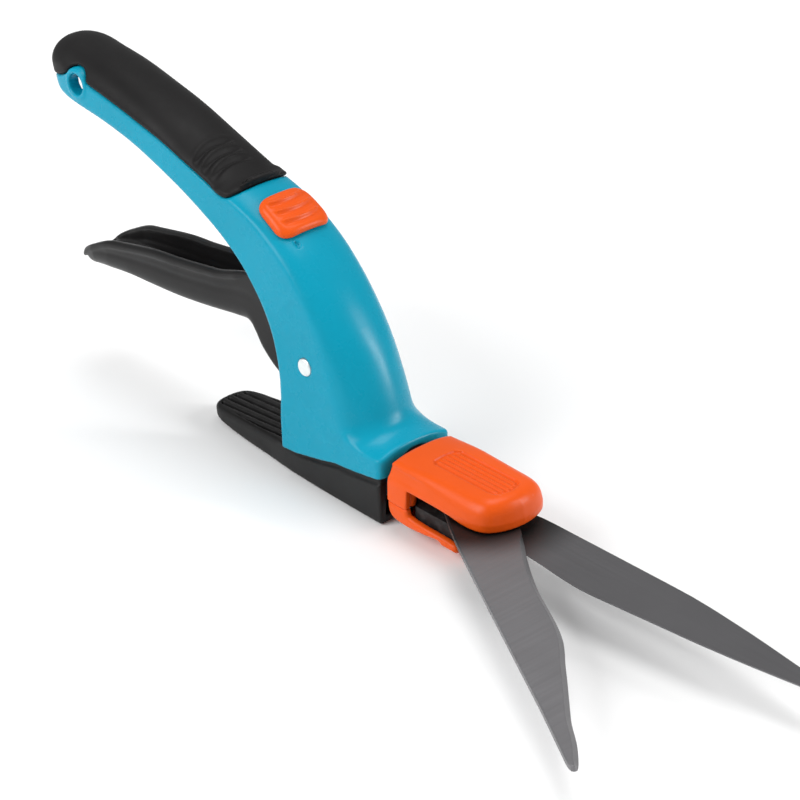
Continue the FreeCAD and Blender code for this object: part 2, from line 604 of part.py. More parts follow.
turned_z("blade_bush", q("pivot_x"), 0.0, [(q("bolt_rad", 0.05), 14.5), (4.2, 14.5), (4.2, 16.75), (q("bolt_rad", 0.05), 16.75)])
turned_z("pivot_bolt", q("pivot_x"), 0.0, [(0, 6.7), (q("bolt_rad"), 6.7), (q("bolt_rad"), 17.1), (5.1, 17.1), (5.1, 19.2), (4.4, 20.1), (0, 20.1)])
a_rest = math.radians(90 - D["blade_open"] / 2)
px = D["pivot_x"] + D["drive_arm"] * math.cos(a_rest)
py = D["drive_arm"] * math.sin(a_rest)
turned_z("drive_pin", q("pivot_x", D["drive_arm"] * math.cos(a_rest)), q("drive_arm", 0, math.sin(a_rest)), [(0, 14.6), (1.4, 14.6), (1.4, 19.2), (1.1, 19.5), (0, 19.5)])

b = new_body("pivot_nut")
s = sketch(b, "nut_hex", "XY_Plane", (0, 0, 6.7))
add_poly(s, [(5.0 * math.cos(math.radians(60 * i)), 5.0 * math.sin(math.radians(60 * i))) for i in range(6)])
pad(b, s, 2.4)
s = sketch(b, "nut_hole", "XY_Plane", (0, 0, 6.0))
add_circle(s, 0.0, 0.0, q("bolt_rad"))
pocket(b, s, 5.0, rev=True)
b.Placement = FreeCAD.Placement(V(D["pivot_x"], 0, 0), FreeCAD.Rotation())
b.setExpression("Placement.Base.x", "Dims.pivot_x")
keep(b)
turned_z("spring_washer", q("pivot_x"), 0.0, [(q("bolt_rad", 0.1), 9.15), (5.0, 9.15), (5.0, 9.7), (3.8, 9.95), (q("bolt_rad", 0.1), 9.95)])

rv = []
for i, y in enumerate((6.0, -6.0)):
    c = doc.addObject("Part::Cylinder", "rivet%d" % i)
    c.Radius = 1.6
    c.Height = 5.2
    c.Placement = FreeCAD.Placement(V(74.0, y, 9.0), FreeCAD.Rotation())
    rv.append(c)
g = doc.addObject("Part::Compound", "G_rivets")
g.Links = rv
keep(g, "lower_blade_rivets")

# ============================ drive train ================================
turned_x("push_rod", [(8.0, 0.0), (8.0, q("rod_rad")), (9.0, q("rod_rad")), (9.0, q("collar_rad")), (11.5, q("collar_rad")), (11.5, q("rod_rad")), (53.0, q("rod_rad")), (53.0, 0.0)])
b = new_body("rod_yoke")
s = sketch(b, "yoke_block", "YZ_Plane", (0, 0, 50.0))
add_poly(s, [(-3.6, 12.7), (3.6, 12.7), (3.6, 18.6), (-3.6, 18.6)])
pad(b, s, 3.5)
s = sketch(b, "yoke_plate", "XY_Plane", (0, 0, 17.0))
add_poly(s, [(50.0, -3.6), (53.5, -3.6), (53.5, 6.0), (67.0, 6.0), (67.0, 11.6), (50.0, 11.6)])
pad(b, s, 1.6)
s = sketch(b, "yoke_bore", "YZ_Plane", (0, 0, 49.0))
add_circle(s, 0.0, q("axle_z"), q("rod_rad"))
pocket(b, s, 4.0, rev=True)
s = sketch(b, "yoke_slot", "XY_Plane", (0, 0, 15.0))
add_poly(s, rect(px - 1.72, py - 1.72, px + 1.72, D["drive_arm"] + 1.75))
pocket(b, s, 6.0, rev=True)
keep(b)

lx, lz = D["lever_x"], D["lever_z"]
half_t = math.radians(D["lever_travel"] / 2)
cx = lx + D["short_arm"] * math.sin(half_t)
cz = lz - D["short_arm"] * math.cos(half_t)
b = new_body("drive_carriage")
s = sketch(b, "carriage_base", "XY_Plane", (0, 0, 9.0))
add_poly(s, rect(2.3, -6.8, 16.2, 6.8))
pad(b, s, 11.0)
s = sketch(b, "carriage_fork", "XZ_Plane")
add_poly(s, rect(cx - 3.2, 19.0, cx + 3.2, 35.4))
pad(b, s, 12.8, sym=True)
s = sketch(b, "carriage_gap", "XZ_Plane")
add_poly(s, rect(cx - 5.0, 20.0, cx + 5.0, 40.0))
pocket(b, s, 6.6, sym=True)
s = sketch(b, "carriage_pin_slot", "XZ_Plane")
add_poly(s, rect(cx - 1.85, cz - 2.4, cx + 1.85, cz + 2.0))
pocket(b, s, 20.0, sym=True)
s = sketch(b, "carriage_collar_seat", "XZ_Plane")
add_poly(s, rect(8.6, 10.0, 11.9, 25.0))
pocket(b, s, 8.8, sym=True)
s = sketch(b, "carriage_rod_way", "XY_Plane", (0, 0, q("axle_z", -2.15)))
add_poly(s, rect(7.4, -2.15, 20.0, 2.15))
pocket(b, s, 10.0, rev=True)
keep(b)

b = new_body("carriage_guide")
s = sketch(b, "guide_block", "XY_Plane", (0, 0, 3.1))
add_poly(s, rect(-4.0, -8.4, 17.2, 8.4))
pad(b, s, 9.0)
s = sketch(b, "guide_way", "YZ_Plane", (0, 0, -10.0))
add_poly(s, rect(-7.15, 8.6, 7.15, 20.0))
pocket(b, s, 40.0, rev=True)
s = sketch(b, "guide_screws", "XY_Plane", (0, 0, 2.0))
add_circle(s, 14.0, 7.6, 3.0)
add_circle(s, 14.0, -7.6, 3.0)
pocket(b, s, 12.0, rev=True)
s = sketch(b, "guide_under", "XZ_Plane")
add_poly(s, rect(0.5, 2.0, 9.0, 6.6))
pocket(b, s, 40.0, sym=True)
keep(b)

# ============================ squeeze lever ==============================
b = new_body("squeeze_lever")
s = sketch(b, "lever_side", "XZ_Plane")
rim = [(-119.5, 36.8), (-117.0, 39.6), (-111.0, 44.3), (-103.4, 48.0), (-96.0, 49.8), (-80.0, 53.0), (-67.5, 54.4), (-51.8, 56.7), (-45.0, 58.0), (-32.1, 62.0), (-24.0, 62.5), (-16.0, 56.0), (-13.5, 51.0), (4.0, 50.6)]
under = [(8.0, 47.0), (8.0, 41.0), (4.0, 37.6), (-3.0, 37.0), (-7.0, 29.0), (-16.0, 30.6), (-24.6, 35.2), (-32.9, 42.8), (-40.3, 42.3), (-53.9, 40.3), (-67.8, 38.7), (-81.9, 37.9), (-96.1, 37.6), (-110.1, 36.0), (-117.7, 34.2)]
add_poly(s, rim + under)
pad(b, s, 16.4, sym=True)
fillet(b, b.Tip, edges_where(b.Tip.Shape, lambda e: e.BoundBox.YLength < 1e-3 and e.BoundBox.XMax < -24.0 and e.BoundBox.ZMax < 43.0 and e.BoundBox.XMin > -117.8), 3.0)
s = sketch(b, "lever_trough", "XZ_Plane")
add_poly(s, [(-119.0, 60.0), (-116.5, 38.8), (-110.0, 39.6), (-96.0, 41.0), (-82.0, 41.0), (-67.8, 41.8), (-53.9, 43.2), (-40.3, 45.6), (-32.0, 46.0), (-24.0, 46.0), (-18.5, 52.0), (-18.5, 80.0)])
pocket(b, s, 11.6, sym=True)
s = sketch(b, "lever_arm", "XZ_Plane")
add_poly(s, [(lx - 3.0, lz - 4.0), (lx + 4.6, lz - 4.0), (cx + 3.0, cz - 0.5), (cx + 1.6, cz - 2.8), (cx - 1.6, cz - 2.8), (cx - 3.0, cz - 0.5)])
pad(b, s, 5.6, sym=True)
s = sketch(b, "lever_pin_bore", "XZ_Plane")
add_circle(s, q("lever_x"), q("lever_z"), 2.05)
add_circle(s, cx, cz, 1.5)
pocket(b, s, 40.0, sym=True)
keep(b)

b = new_body("lever_cross_pin")
s = sketch(b, "cross_pin_circle", "XZ_Plane")
add_circle(s, cx, cz, 1.5)
pad(b, s, 12.4, sym=True)
keep(b)

# Return spring between the lever and the crown.
turns = 6.5
h_spr = D["spring_hi"] - D["spring_lo"] - 2 * D["spring_wire"]
helix = Part.makeHelix(h_spr / turns, h_spr, D["spring_rad"])
prof = Part.Wire([Part.makeCircle(D["spring_wire"], V(D["spring_rad"], 0, 0), V(0, 1, 0))])
coil = Part.Wire(helix).makePipeShell([prof], True, True)
feature("lever_spring", coil, (D["spring_x"], 0, D["spring_lo"] + D["spring_wire"]))

# ============================ thumb lock =================================
def crown(y, lift):
    return lift - 0.25 - 1.65 * (abs(y) / 10.0) ** 2.5


b = new_body("lock_slider")
ys = [-10.6, -8.8, -6.6, -4.2, -1.5, 1.5, 4.2, 6.6, 8.8, 10.6]
s = sketch(b, "slider_section", "YZ_Plane")
add_poly(s, [(y, crown(y, 0.9)) for y in ys] + [(y, crown(y, 3.5)) for y in reversed(ys)])
pad(b, s, q("slide_len"), sym=True)
s = sketch(b, "slider_corner", "XY_Plane", (0, 0, -12))
add_poly(s, [(-9.2, -12.5), (-4.0, -12.5), (-4.0, -10.2), (-7.0, -9.0), (-8.4, -6.2), (-9.2, -5.8)])
pocket(b, s, 30.0, rev=True)
s = sketch(b, "slider_corner_left", "XY_Plane", (0, 0, -12))
add_poly(s, [(-9.2, 12.5), (-9.2, 5.8), (-8.4, 6.2), (-7.0, 9.0), (-4.0, 10.2), (-4.0, 12.5)])
pocket(b, s, 30.0, rev=True)
s = sketch(b, "slider_front", "XY_Plane", (0, 0, -12))
add_poly(s, [(9.2, -12.5), (9.2, -5.8), (8.2, -7.3), (6.4, -9.8), (3.9, -10.8), (3.9, -12.5)])
pocket(b, s, 30.0, rev=True)
s = sketch(b, "slider_front_left", "XY_Plane", (0, 0, -12))
add_poly(s, [(9.2, 12.5), (3.9, 12.5), (3.9, 10.8), (6.4, 9.8), (8.2, 7.3), (9.2, 5.8)])
pocket(b, s, 30.0, rev=True)
s = sketch(b, "slider_stem", "XY_Plane", (0, 0, 0.9))
add_poly(s, rect(-2.0, -2.0, 2.0, 2.0))
pad(b, s, 6.9, rev=True)
s = sketch(b, "slider_groove", "XZ_Plane")
add_poly(s, [(-4.0, 2.7), (-2.6, 2.7), (-2.4, 6), (-4.2, 6)])
gr = pocket(b, s, 30.0, sym=True)
pat = b.newObject("PartDesign::LinearPattern", "slider_grooves")
pat.Originals = [gr]
pat.Direction = (plane(b, "X_Axis"), [""])
pat.Length = 6.6
pat.Occurrences = 3
doc.recompute()
b.Tip = pat
b.Placement = slide_place
keep(b)

b = new_body("lock_latch")
s = sketch(b, "latch_plate", "XY_Plane", (0, 0, -8.2))
add_poly(s, rect(-3.8, -4.4, 2.4, 4.4))
pad(b, s, 2.2)
s = sketch(b, "latch_tooth", "XY_Plane", (0, 0, -11.6))
add_poly(s, rect(0.2, -3.0, 2.2, 3.0))
pad(b, s, 3.6)
b.Placement = slide_place
keep(b)

# ============================ checks and export ==========================
doc.recompute()
bad = []
for o in doc.Objects:
    if "Invalid" in o.State or "Error" in o.State:
        bad.append("%s %s" % (o.Name, o.State))
os.makedirs("parts", exist_ok=True)
for o in NODES:
    sh = o.Shape
    if sh.isNull() or not sh.isValid() or not sh.Solids:
        bad.append("%s shape null %s valid %s solids %d" % (o.Label, sh.isNull(), (not sh.isNull()) and sh.isValid(), 0 if sh.isNull() else len(sh.Solids)))
if bad:
    raise RuntimeError("; ".join(bad))
for o in NODES:
    o.Shape.exportStep("parts/%s.step" % o.Label)
    bb = o.Shape.BoundBox
    print("%-20s solids %d vol %9.1f  x %.1f..%.1f y %.1f..%.1f z %.1f..%.1f" % (o.Label, len(o.Shape.Solids), o.Shape.Volume, bb.XMin, bb.XMax, bb.YMin, bb.YMax, bb.ZMin, bb.ZMax))
print("nodes", len(NODES))
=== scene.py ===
import json
import math

import bpy
import numpy as np
from mathutils import Matrix, Vector


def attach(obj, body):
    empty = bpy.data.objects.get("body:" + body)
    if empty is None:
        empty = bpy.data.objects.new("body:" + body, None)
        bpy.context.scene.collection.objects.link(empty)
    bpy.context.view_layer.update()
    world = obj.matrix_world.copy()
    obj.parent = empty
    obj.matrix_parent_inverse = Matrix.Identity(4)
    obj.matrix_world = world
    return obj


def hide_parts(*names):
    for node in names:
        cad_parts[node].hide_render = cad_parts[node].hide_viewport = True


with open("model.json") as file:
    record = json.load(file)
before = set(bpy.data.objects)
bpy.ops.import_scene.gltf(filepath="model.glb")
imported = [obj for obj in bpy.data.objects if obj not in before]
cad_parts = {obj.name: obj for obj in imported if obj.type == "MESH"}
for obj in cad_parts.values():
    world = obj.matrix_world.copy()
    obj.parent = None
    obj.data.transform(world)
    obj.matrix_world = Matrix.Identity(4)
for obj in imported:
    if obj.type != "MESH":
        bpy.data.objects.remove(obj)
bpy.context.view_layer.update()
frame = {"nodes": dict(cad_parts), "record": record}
NODES = frame["nodes"]
MM = 0.001

# ------------------------------------------------------------------ camera
cam_data = bpy.data.cameras.new("camera")
cam_data.lens = 144.0
cam_data.sensor_width = 36.0
cam_data.clip_start = 0.05
cam_data.clip_end = 20.0
cam = bpy.data.objects.new("camera", cam_data)
bpy.context.scene.collection.objects.link(cam)
_az, _el, _roll = (math.radians(v) for v in (-42.86, 28.93, -0.18))
_c = np.array([math.cos(_el) * math.cos(_az), math.cos(_el) * math.sin(_az), math.sin(_el)])
_pos = (np.array([40.0, -7.8, 44.4]) + _c * 987.9) * MM
_r = np.array([-math.sin(_az), math.cos(_az), 0.0])
_u = np.cross(_r, -_c)
_rr = math.cos(_roll) * _r + math.sin(_roll) * _u
_uu = -math.sin(_roll) * _r + math.cos(_roll) * _u
cam.matrix_world = Matrix(((_rr[0], _uu[0], _c[0], _pos[0]), (_rr[1], _uu[1], _c[1], _pos[1]), (_rr[2], _uu[2], _c[2], _pos[2]), (0, 0, 0, 1)))
bpy.context.scene.camera = cam


# ------------------------------------------------------- implicit surfaces
# Fields are negative inside, in millimetres, and take broadcastable arrays.
def smin(a, b, k):
    h = np.clip(0.5 + 0.5 * (b - a) / k, 0, 1)
    return b + (a - b) * h - k * h * (1 - h)


def smax(a, b, k):
    return -smin(-a, -b, k)


def sstep(x, a, b):
    t = np.clip((x - a) / (b - a), 0, 1)
    return t * t * (3 - 2 * t)


def spline(pts, n=12):
    """Catmull-Rom curve through points, closed False."""
    p = np.array(pts, float)
    p = np.vstack([2 * p[0] - p[1], p, 2 * p[-1] - p[-2]])
    out = []
    for i in range(1, len(p) - 2):
        for j in range(n):
            t = j / n
            a, b, c, d = p[i - 1], p[i], p[i + 1], p[i + 2]
            out.append(0.5 * (2 * b + (c - a) * t + (2 * a - 5 * b + 4 * c - d) * t * t + (3 * b - a - 3 * c + d) * t ** 3))
    out.append(p[-2])
    return np.array(out)


def poly_sdf(pts):
    """Signed distance to a closed polygon in a plane."""
    P = np.array(pts, float)
    A, B = P, np.roll(P, -1, axis=0)

    def f(x, z):
        x, z = np.broadcast_arrays(np.asarray(x, float), np.asarray(z, float))
        best = np.full(x.shape, 1e18)
        inside = np.zeros(x.shape, bool)
        for (ax, az), (bx, bz) in zip(A, B):
            ex, ez = bx - ax, bz - az
            L = ex * ex + ez * ez + 1e-12
            t = np.clip(((x - ax) * ex + (z - az) * ez) / L, 0, 1)
            dx, dz = x - ax - t * ex, z - az - t * ez
            best = np.minimum(best, dx * dx + dz * dz)
            if abs(ez) > 1e-12:
                hit = ((az > z) != (bz > z)) & (x < ex * (z - az) / ez + ax)
                inside ^= hit
        d = np.sqrt(best)
        return np.where(inside, -d, d)

    return f


CORN = [(0, 0, 0), (1, 0, 0), (0, 1, 0), (1, 1, 0), (0, 0, 1), (1, 0, 1), (0, 1, 1), (1, 1, 1)]
EDG = [(a, b) for a in range(8) for b in range(a + 1, 8) if sum(abs(CORN[a][i] - CORN[b][i]) for i in range(3)) == 1]


def surface_nets(F, lo, h):
    S = F < 0
    n = [d - 1 for d in F.shape]
    cnt = np.zeros(n, np.int8)
    for cx, cy, cz in CORN:
        cnt += S[cx:cx + n[0], cy:cy + n[1], cz:cz + n[2]]
    act = (cnt > 0) & (cnt < 8)
    I = np.stack(np.nonzero(act), 1)
    idx = np.full(n, -1, np.int64)
    idx[act] = np.arange(len(I))
    acc = np.zeros((len(I), 3))
    num = np.zeros(len(I))
    for a, b in EDG:
        ca, cb = np.array(CORN[a]), np.array(CORN[b])
        fa = F[tuple((I + ca).T)]
        fb = F[tuple((I + cb).T)]
        cr = (fa < 0) != (fb < 0)
        t = fa[cr] / (fa[cr] - fb[cr])
        acc[cr] += ca + t[:, None] * (cb - ca)
        num += cr
    V = np.array(lo) + h * (I + acc / num[:, None])
    quads = []
    for ax in range(3):
        o = [i for i in range(3) if i != ax]
        sl0 = [slice(1, -1)] * 3
        sl1 = [slice(1, -1)] * 3
        sl0[ax] = slice(0, -1)
        sl1[ax] = slice(1, None)
        a, b = S[tuple(sl0)], S[tuple(sl1)]
        cr = np.stack(np.nonzero(a != b), 1)
        low_in = a[tuple(cr.T)]
        base = cr.copy()
        base[:, o[0]] += 1
        base[:, o[1]] += 1

        def cell(d0, d1):
            k = base.copy()
            k[:, o[0]] -= d0
            k[:, o[1]] -= d1
            return idx[tuple(k.T)]
        q = np.stack([cell(1, 1), cell(0, 1), cell(0, 0), cell(1, 0)], 1)
        flip = low_in if ax != 1 else ~low_in
        q[~flip] = q[~flip][:, ::-1]
        quads.append(q)
    return V, np.vstack(quads)


def new_mesh(name, V, faces, smooth=True):
    me = bpy.data.meshes.new(name)
    V = np.asarray(V, float)
    if isinstance(faces, np.ndarray):
        k = faces.shape[1]
        me.vertices.add(len(V))
        me.vertices.foreach_set("co", (V * MM).astype(np.float32).ravel())
        me.loops.add(faces.size)
        me.loops.foreach_set("vertex_index", faces.astype(np.int32).ravel())
        me.polygons.add(len(faces))
        me.polygons.foreach_set("loop_start", np.arange(0, faces.size, k, dtype=np.int32))
        me.polygons.foreach_set("loop_total", np.full(len(faces), k, np.int32))
    else:
        me.from_pydata((V * MM).tolist(), [], [list(map(int, f)) for f in faces])
    me.update(calc_edges=True)
    me.validate()
    me.polygons.foreach_set("use_smooth", np.full(len(me.polygons), smooth, bool))
    ob = bpy.data.objects.new(name, me)
    bpy.context.scene.collection.objects.link(ob)
    return ob


def implicit(name, f, lo, hi, h, steps=3):
    lo = np.array(lo, float) - 1.5 * h
    hi = np.array(hi, float) + 1.5 * h
    n = np.ceil((hi - lo) / h).astype(int) + 1
    x = (lo[0] + h * np.arange(n[0]))[:, None, None]
    y = (lo[1] + h * np.arange(n[1]))[None, :, None]
    z = (lo[2] + h * np.arange(n[2]))[None, None, :]
    F = np.broadcast_to(f(x, y, z), tuple(n)).astype(np.float64)
    F = np.where(np.abs(F) < 1e-9, 1e-9, F)
    V, Q = surface_nets(F, lo, h)
    e = 0.02
    for _ in range(steps):
        px, py, pz = V.T
        v = f(px, py, pz)
        g = np.stack([f(px + e, py, pz) - f(px - e, py, pz), f(px, py + e, pz) - f(px, py - e, pz), f(px, py, pz + e) - f(px, py, pz - e)], 1) / (2 * e)
        gg = (g * g).sum(1) + 1e-9
        d = np.clip(v / gg * np.sqrt(gg), -0.35 * h, 0.35 * h) / np.sqrt(gg)
        V = V - d[:, None] * g
    return new_mesh(name, V, Q)


# ------------------------------------------------- handle shell: the sweep
# Stations: rear or lower edge, front or top point, half width, crown height.
ST = [
    ((-8.8, 20.0), (31.5, 22.0), 15.2, 13.0),
    ((-9.0, 30.0), (29.0, 31.0), 15.0, 13.0),
    ((-10.2, 40.0), (25.2, 41.0), 14.8, 13.0),
    ((-13.6, 50.0), (20.6, 50.4), 14.4, 12.2),
    ((-19.0, 58.8), (14.4, 59.1), 14.0, 11.0),
    ((-27.0, 67.3), (6.0, 68.4), 13.7, 9.8),
    ((-36.0, 73.8), (-5.0, 78.1), 13.4, 8.6),
    ((-46.0, 78.6), (-20.0, 86.7), 13.0, 7.4),
    ((-57.0, 83.2), (-39.2, 92.9), 12.8, 6.8),
    ((-69.0, 87.2), (-55.0, 98.9), 12.6, 7.0),
    ((-81.0, 90.8), (-70.8, 104.9), 12.5, 7.6),
    ((-92.0, 93.3), (-86.1, 109.0), 12.5, 8.2),
    ((-102.0, 94.9), (-100.3, 112.1), 12.5, 8.6),
    ((-111.0, 95.9), (-113.4, 113.7), 12.4, 8.8),
    ((-118.3, 96.8), (-121.4, 114.8), 11.9, 9.0),
    ((-124.4, 98.4), (-127.8, 113.6), 10.6, 8.0),
    ((-129.0, 101.2), (-132.6, 110.4), 7.6, 5.0),
]
_flat = spline([(a[0], a[1], b[0], b[1], w, c) for a, b, w, c in ST], 16)
S_R, S_F = _flat[:, 0:2], _flat[:, 2:4]
S_W, S_C = _flat[:, 4], _flat[:, 5]
S_D = S_F - S_R
S_H = np.linalg.norm(S_D, axis=1)
S_D = S_D / S_H[:, None]
S_N = len(S_R)
_s_at = {i: i * 16 for i in range(len(ST))}


def _build_table():
    gx = np.arange(-142, 48, 0.5)
    gz = np.arange(-4, 130, 0.5)
    X, Z = np.meshgrid(gx, gz, indexing="ij")
    best = np.full(X.shape, 1e18)
    bi = np.zeros(X.shape, int)
    for i in range(S_N):
        px, pz = X - S_R[i, 0], Z - S_R[i, 1]
        t = np.clip(px * S_D[i, 0] + pz * S_D[i, 1], 0, S_H[i])
        d = (px - t * S_D[i, 0]) ** 2 + (pz - t * S_D[i, 1]) ** 2
        m = d < best
        best[m] = d[m]
        bi[m] = i

    def g(i):
        return (X - S_R[i, 0]) * S_D[i, 1] - (Z - S_R[i, 1]) * S_D[i, 0]
    g0 = g(bi)
    s = bi.astype(float)
    for step in (1, -1):
        j = np.clip(bi + step, 0, S_N - 1)
        g1 = g(j)
        m = (g0 * g1 < 0) & (j != bi)
        s[m] = bi[m] + step * (g0[m] / (g0[m] - g1[m]))
    return gx, gz, s


GX, GZ, TS = _build_table()


def _sample(x, z):
    x, z = np.broadcast_arrays(np.asarray(x, float), np.asarray(z, float))
    u = np.clip((x - GX[0]) / 0.5, 0, len(GX) - 1.001)
    v = np.clip((z - GZ[0]) / 0.5, 0, len(GZ) - 1.001)
    i, j = u.astype(int), v.astype(int)
    a, b = u - i, v - j
    return (TS[i, j] * (1 - a) * (1 - b) + TS[i + 1, j] * a * (1 - b) + TS[i, j + 1] * (1 - a) * b + TS[i + 1, j + 1] * a * b)


_si = np.arange(S_N)


def sweep(x, z):
    s = _sample(x, z)
    rx, rz = np.interp(s, _si, S_R[:, 0]), np.interp(s, _si, S_R[:, 1])
    dx, dz = np.interp(s, _si, S_D[:, 0]), np.interp(s, _si, S_D[:, 1])
    hh, w, c = (np.interp(s, _si, q) for q in (S_H, S_W, S_C))
    v = (x - rx) * dx + (z - rz) * dz
    return s, v, hh, w, c


END_N = np.array([-S_D[-1, 1], S_D[-1, 0]])
if END_N[0] > 0:
    END_N = -END_N
BLOCK_K = 6.0
BOT = [(-40, 10.2), (-9.7, 10.35), (-0.9, 11.05), (10.8, 13.4), (17.0, 14.95), (25.9, 15.75), (38.9, 17.6), (50, 18.0)]


def crown_field(y, v, hh, w, c):
    """Superellipse crown standing on the flat sides."""
    u = np.maximum(v - (hh - c), 0.0) / c
    t = np.abs(y) / w
    q = t ** 2.222 + u ** 2 + 1e-9
    g = np.sqrt((2.222 * t ** 1.222 / w) ** 2 + (2 * u / c) ** 2) + 1e-4
    return (q - 1) / g


def ztop_block(y):
    a = np.clip(np.abs(y) / 15.3, 0, 1.2)
    return 26.9 - 2.9 * a ** 2.4


def outer_parts(x, y, z):
    s, v, hh, w, c = sweep(x, z)
    # the crown meets the flat sides at a soft crease in the upper neck
    wide = np.interp(s, [_s_at[3], _s_at[5], _s_at[8], _s_at[10]], [1.0, 1.035, 1.035, 1.0])
    front = crown_field(y, v, hh, w * wide, c)
    block = smax(z - ztop_block(y), x - 38.7, 1.4)
    low = sstep(z, 60, 44)
    front = np.where(z < 62, smin(front, block + 60 * (1 - low), BLOCK_K), front)
    side = np.abs(y) - w
    return s, v, hh, w, front, side


def outer_field(x, y, z, rear_round=2.4):
    s, v, hh, w, front, side = outer_parts(x, y, z)
    side = smax(side, x - 38.7, 2.6)
    f = smax(side, front, 0.7)
    kr = np.interp(s, [_s_at[0], _s_at[6], _s_at[9], S_N], [1.2, 1.2, 1.8, 2.6])
    f = smax(f, -v, kr)
    end = (x - S_R[-1, 0]) * END_N[0] + (z - S_R[-1, 1]) * END_N[1]
    return smax(f, end, 7.0), s, v, w, front, side


GRIP_LINE = [(-140.0, 101.4), (-130.0, 102.2), (-125.0, 103.1), (-121.0, 104.2), (-117.6, 106.0), (-115.6, 108.2), (-113.6, 109.3), (-111.5, 109.6), (-109.4, 109.2), (-107.5, 107.8), (-106.0, 105.6), (-99.0, 104.2),
             (-88.8, 102.2), (-78.6, 99.9), (-68.5, 97.6), (-58.6, 94.7), (-48.8, 91.8), (-43.8, 90.2), (-40.5, 89.0), (-38.2, 88.5), (-36.2, 88.6), (-34.5, 89.4), (-33.2, 90.8), (-32.5, 92.8), (-32.2, 95.5), (-32.0, 104.0)]
_gl = spline(GRIP_LINE, 5).tolist()
grip_region = poly_sdf(_gl + [(-32.0, 150.0), (-140.0, 150.0)])
_front_edge = [(-38.2, 88.5), (-36.2, 88.6), (-34.5, 89.4), (-33.2, 90.8), (-32.5, 92.8), (-32.2, 95.5), (-32.0, 104.0)]


def front_edge_dist(x, z):
    best = np.full(np.broadcast(x, z).shape, 1e9)
    for (ax, az), (bx, bz) in zip(_front_edge[:-1], _front_edge[1:]):
        ex, ez = bx - ax, bz - az
        t = np.clip(((x - ax) * ex + (z - az) * ez) / (ex * ex + ez * ez), 0, 1)
        best = np.minimum(best, (x - ax - t * ex) ** 2 + (z - az - t * ez) ** 2)
    return np.sqrt(best)


WALL = 2.4
SL = Vector((-17.8, 0, 85.4))
SD = (0.894934, -0.446198)


def slider_local(x, z):
    dx, dz = x - SL.x, z - SL.z
    return dx * SD[0] + dz * SD[1], -dx * SD[1] + dz * SD[0]


def shell_field(x, y, z):
    f, s, v, w, front, side = outer_field(x, y, z)
    bot = np.interp(x, [p[0] for p in BOT], [p[1] for p in BOT]) - z
    f = smax(f, bot, 0.7)
    # seat for the soft grip
    gz = grip_region(x, z)
    f = smax(f, -smax(gz - 0.3, -(f + 2.5), 0.5), 0.4)
    # hollow: open channel in the neck, closed tube in the handle
    inner = smax(np.abs(y) - (w - WALL), front + WALL, 0.8)
    closed = sstep(s, _s_at[7] - 2, _s_at[8])
    inner = smax(inner, (WALL - v) - 40 * (1 - closed), 0.6)
    inner = np.maximum(inner, -104.0 - x)
    deep = sstep(x, -27, -34) * 2.5
    inner = np.maximum(inner, front + WALL + deep)
    inner = np.maximum(inner, -np.maximum(21.15 - x, z - 24.0))
    f = smax(f, -inner, 0.5)
    # bearing chin for the swivel neck
    rad = np.sqrt(y * y + (z - 14.4) ** 2)
    chin = np.maximum(rad - 10.3, np.maximum(21.15 - x, x - 38.6))
    f = np.minimum(f, chin)
    f = smax(f, -np.maximum(rad - 8.35, 15.0 - x), 0.3)
    f = smax(f, -np.maximum(rad - 9.85, 36.8 - x), 0.3)
    # spring seat
    boss = np.sqrt((x + 8.0) ** 2 + y * y) - 4.9
    boss = np.maximum(np.maximum(boss, 76.0 - z), front + 0.6)
    f = smin(f, boss, 0.4)
    # lever pin seat, a round hole of the pin's size through the side walls
    rp = np.sqrt((x - 3.0) ** 2 + (z - 43.7) ** 2)
    f = smax(f, -(rp - 3.02), 0.25)
    # hanging hole with a raised funnel rim
    rh = np.sqrt((x + 111.5) ** 2 + (z - 103.9) ** 2)
    ay = np.abs(y)
    rim = smax(rh - 5.3, np.maximum(-y - 12.7, y - 11.6), 0.7)
    f = smin(f, rim, 0.5)
    hole = rh - 3.7
    f = smax(f, -hole, 0.5)
    # the end of the handle is moulded open underneath, behind the hole
    pocket = smax(ay - (w - 1.9), np.maximum(x + 106.3, -126.0 - x), 1.2)
    pocket = smax(pocket, z - 107.6, 2.0)
    pocket = np.maximum(pocket, front + 5.2)
    f = smax(f, -pocket, 0.5)
    # slot of the thumb slider, and the small index mark ahead of it
    p, r = slider_local(x, z)
    slot = np.maximum(np.maximum(-2.5 - p, p - 7.5), np.maximum(ay - 2.4, np.abs(r + 1.0) - 6.5))
    f = smax(f, -slot, 0.3)
    mark = np.maximum(np.sqrt((p - 10.6) ** 2 * 0.30 + (y + 6.2) ** 2) - 0.75, np.abs(r) - 1.5)
    return smax(f, -mark, 0.3)


def grip_field(x, y, z):
    f, s, v, w, front, side = outer_field(x, y, z)
    gz = grip_region(x, z)
    de = front_edge_dist(x, z)
    raise_ = 0.30 + 1.25 * np.exp(-(de / 3.0) ** 4) * sstep(z + 0.12 * (x + 36), 88.4, 91.0)
    dip = 0.45 * np.exp(-((de - 6.5) / 2.6) ** 2)
    g = f - raise_ + dip * sstep(x, -44, -36)
    # crescent grooves across the thumb end
    xs = x - 0.020 * (y + 2.0) ** 2
    for x0 in (-44.8, -49.0, -53.2):
        prof = np.exp(-((xs - x0) / 0.92) ** 2)
        lip = 0.30 * np.exp(-((xs - x0 + 2.0) / 1.0) ** 2)
        fade = sstep(-gz, 1.4, 3.2)
        g = g + (1.5 * prof - lip) * fade * sstep(6.5 - y, 0.0, 5.0)
    g = smax(g, gz, 0.9 + 0.5 * sstep(de, 3.0, 7.0))
    g = smax(g, -(f + 2.45), 0.5)
    rh = np.sqrt((x + 111.5) ** 2 + (z - 103.9) ** 2)
    return smax(g, -(rh - 5.6), 0.6)


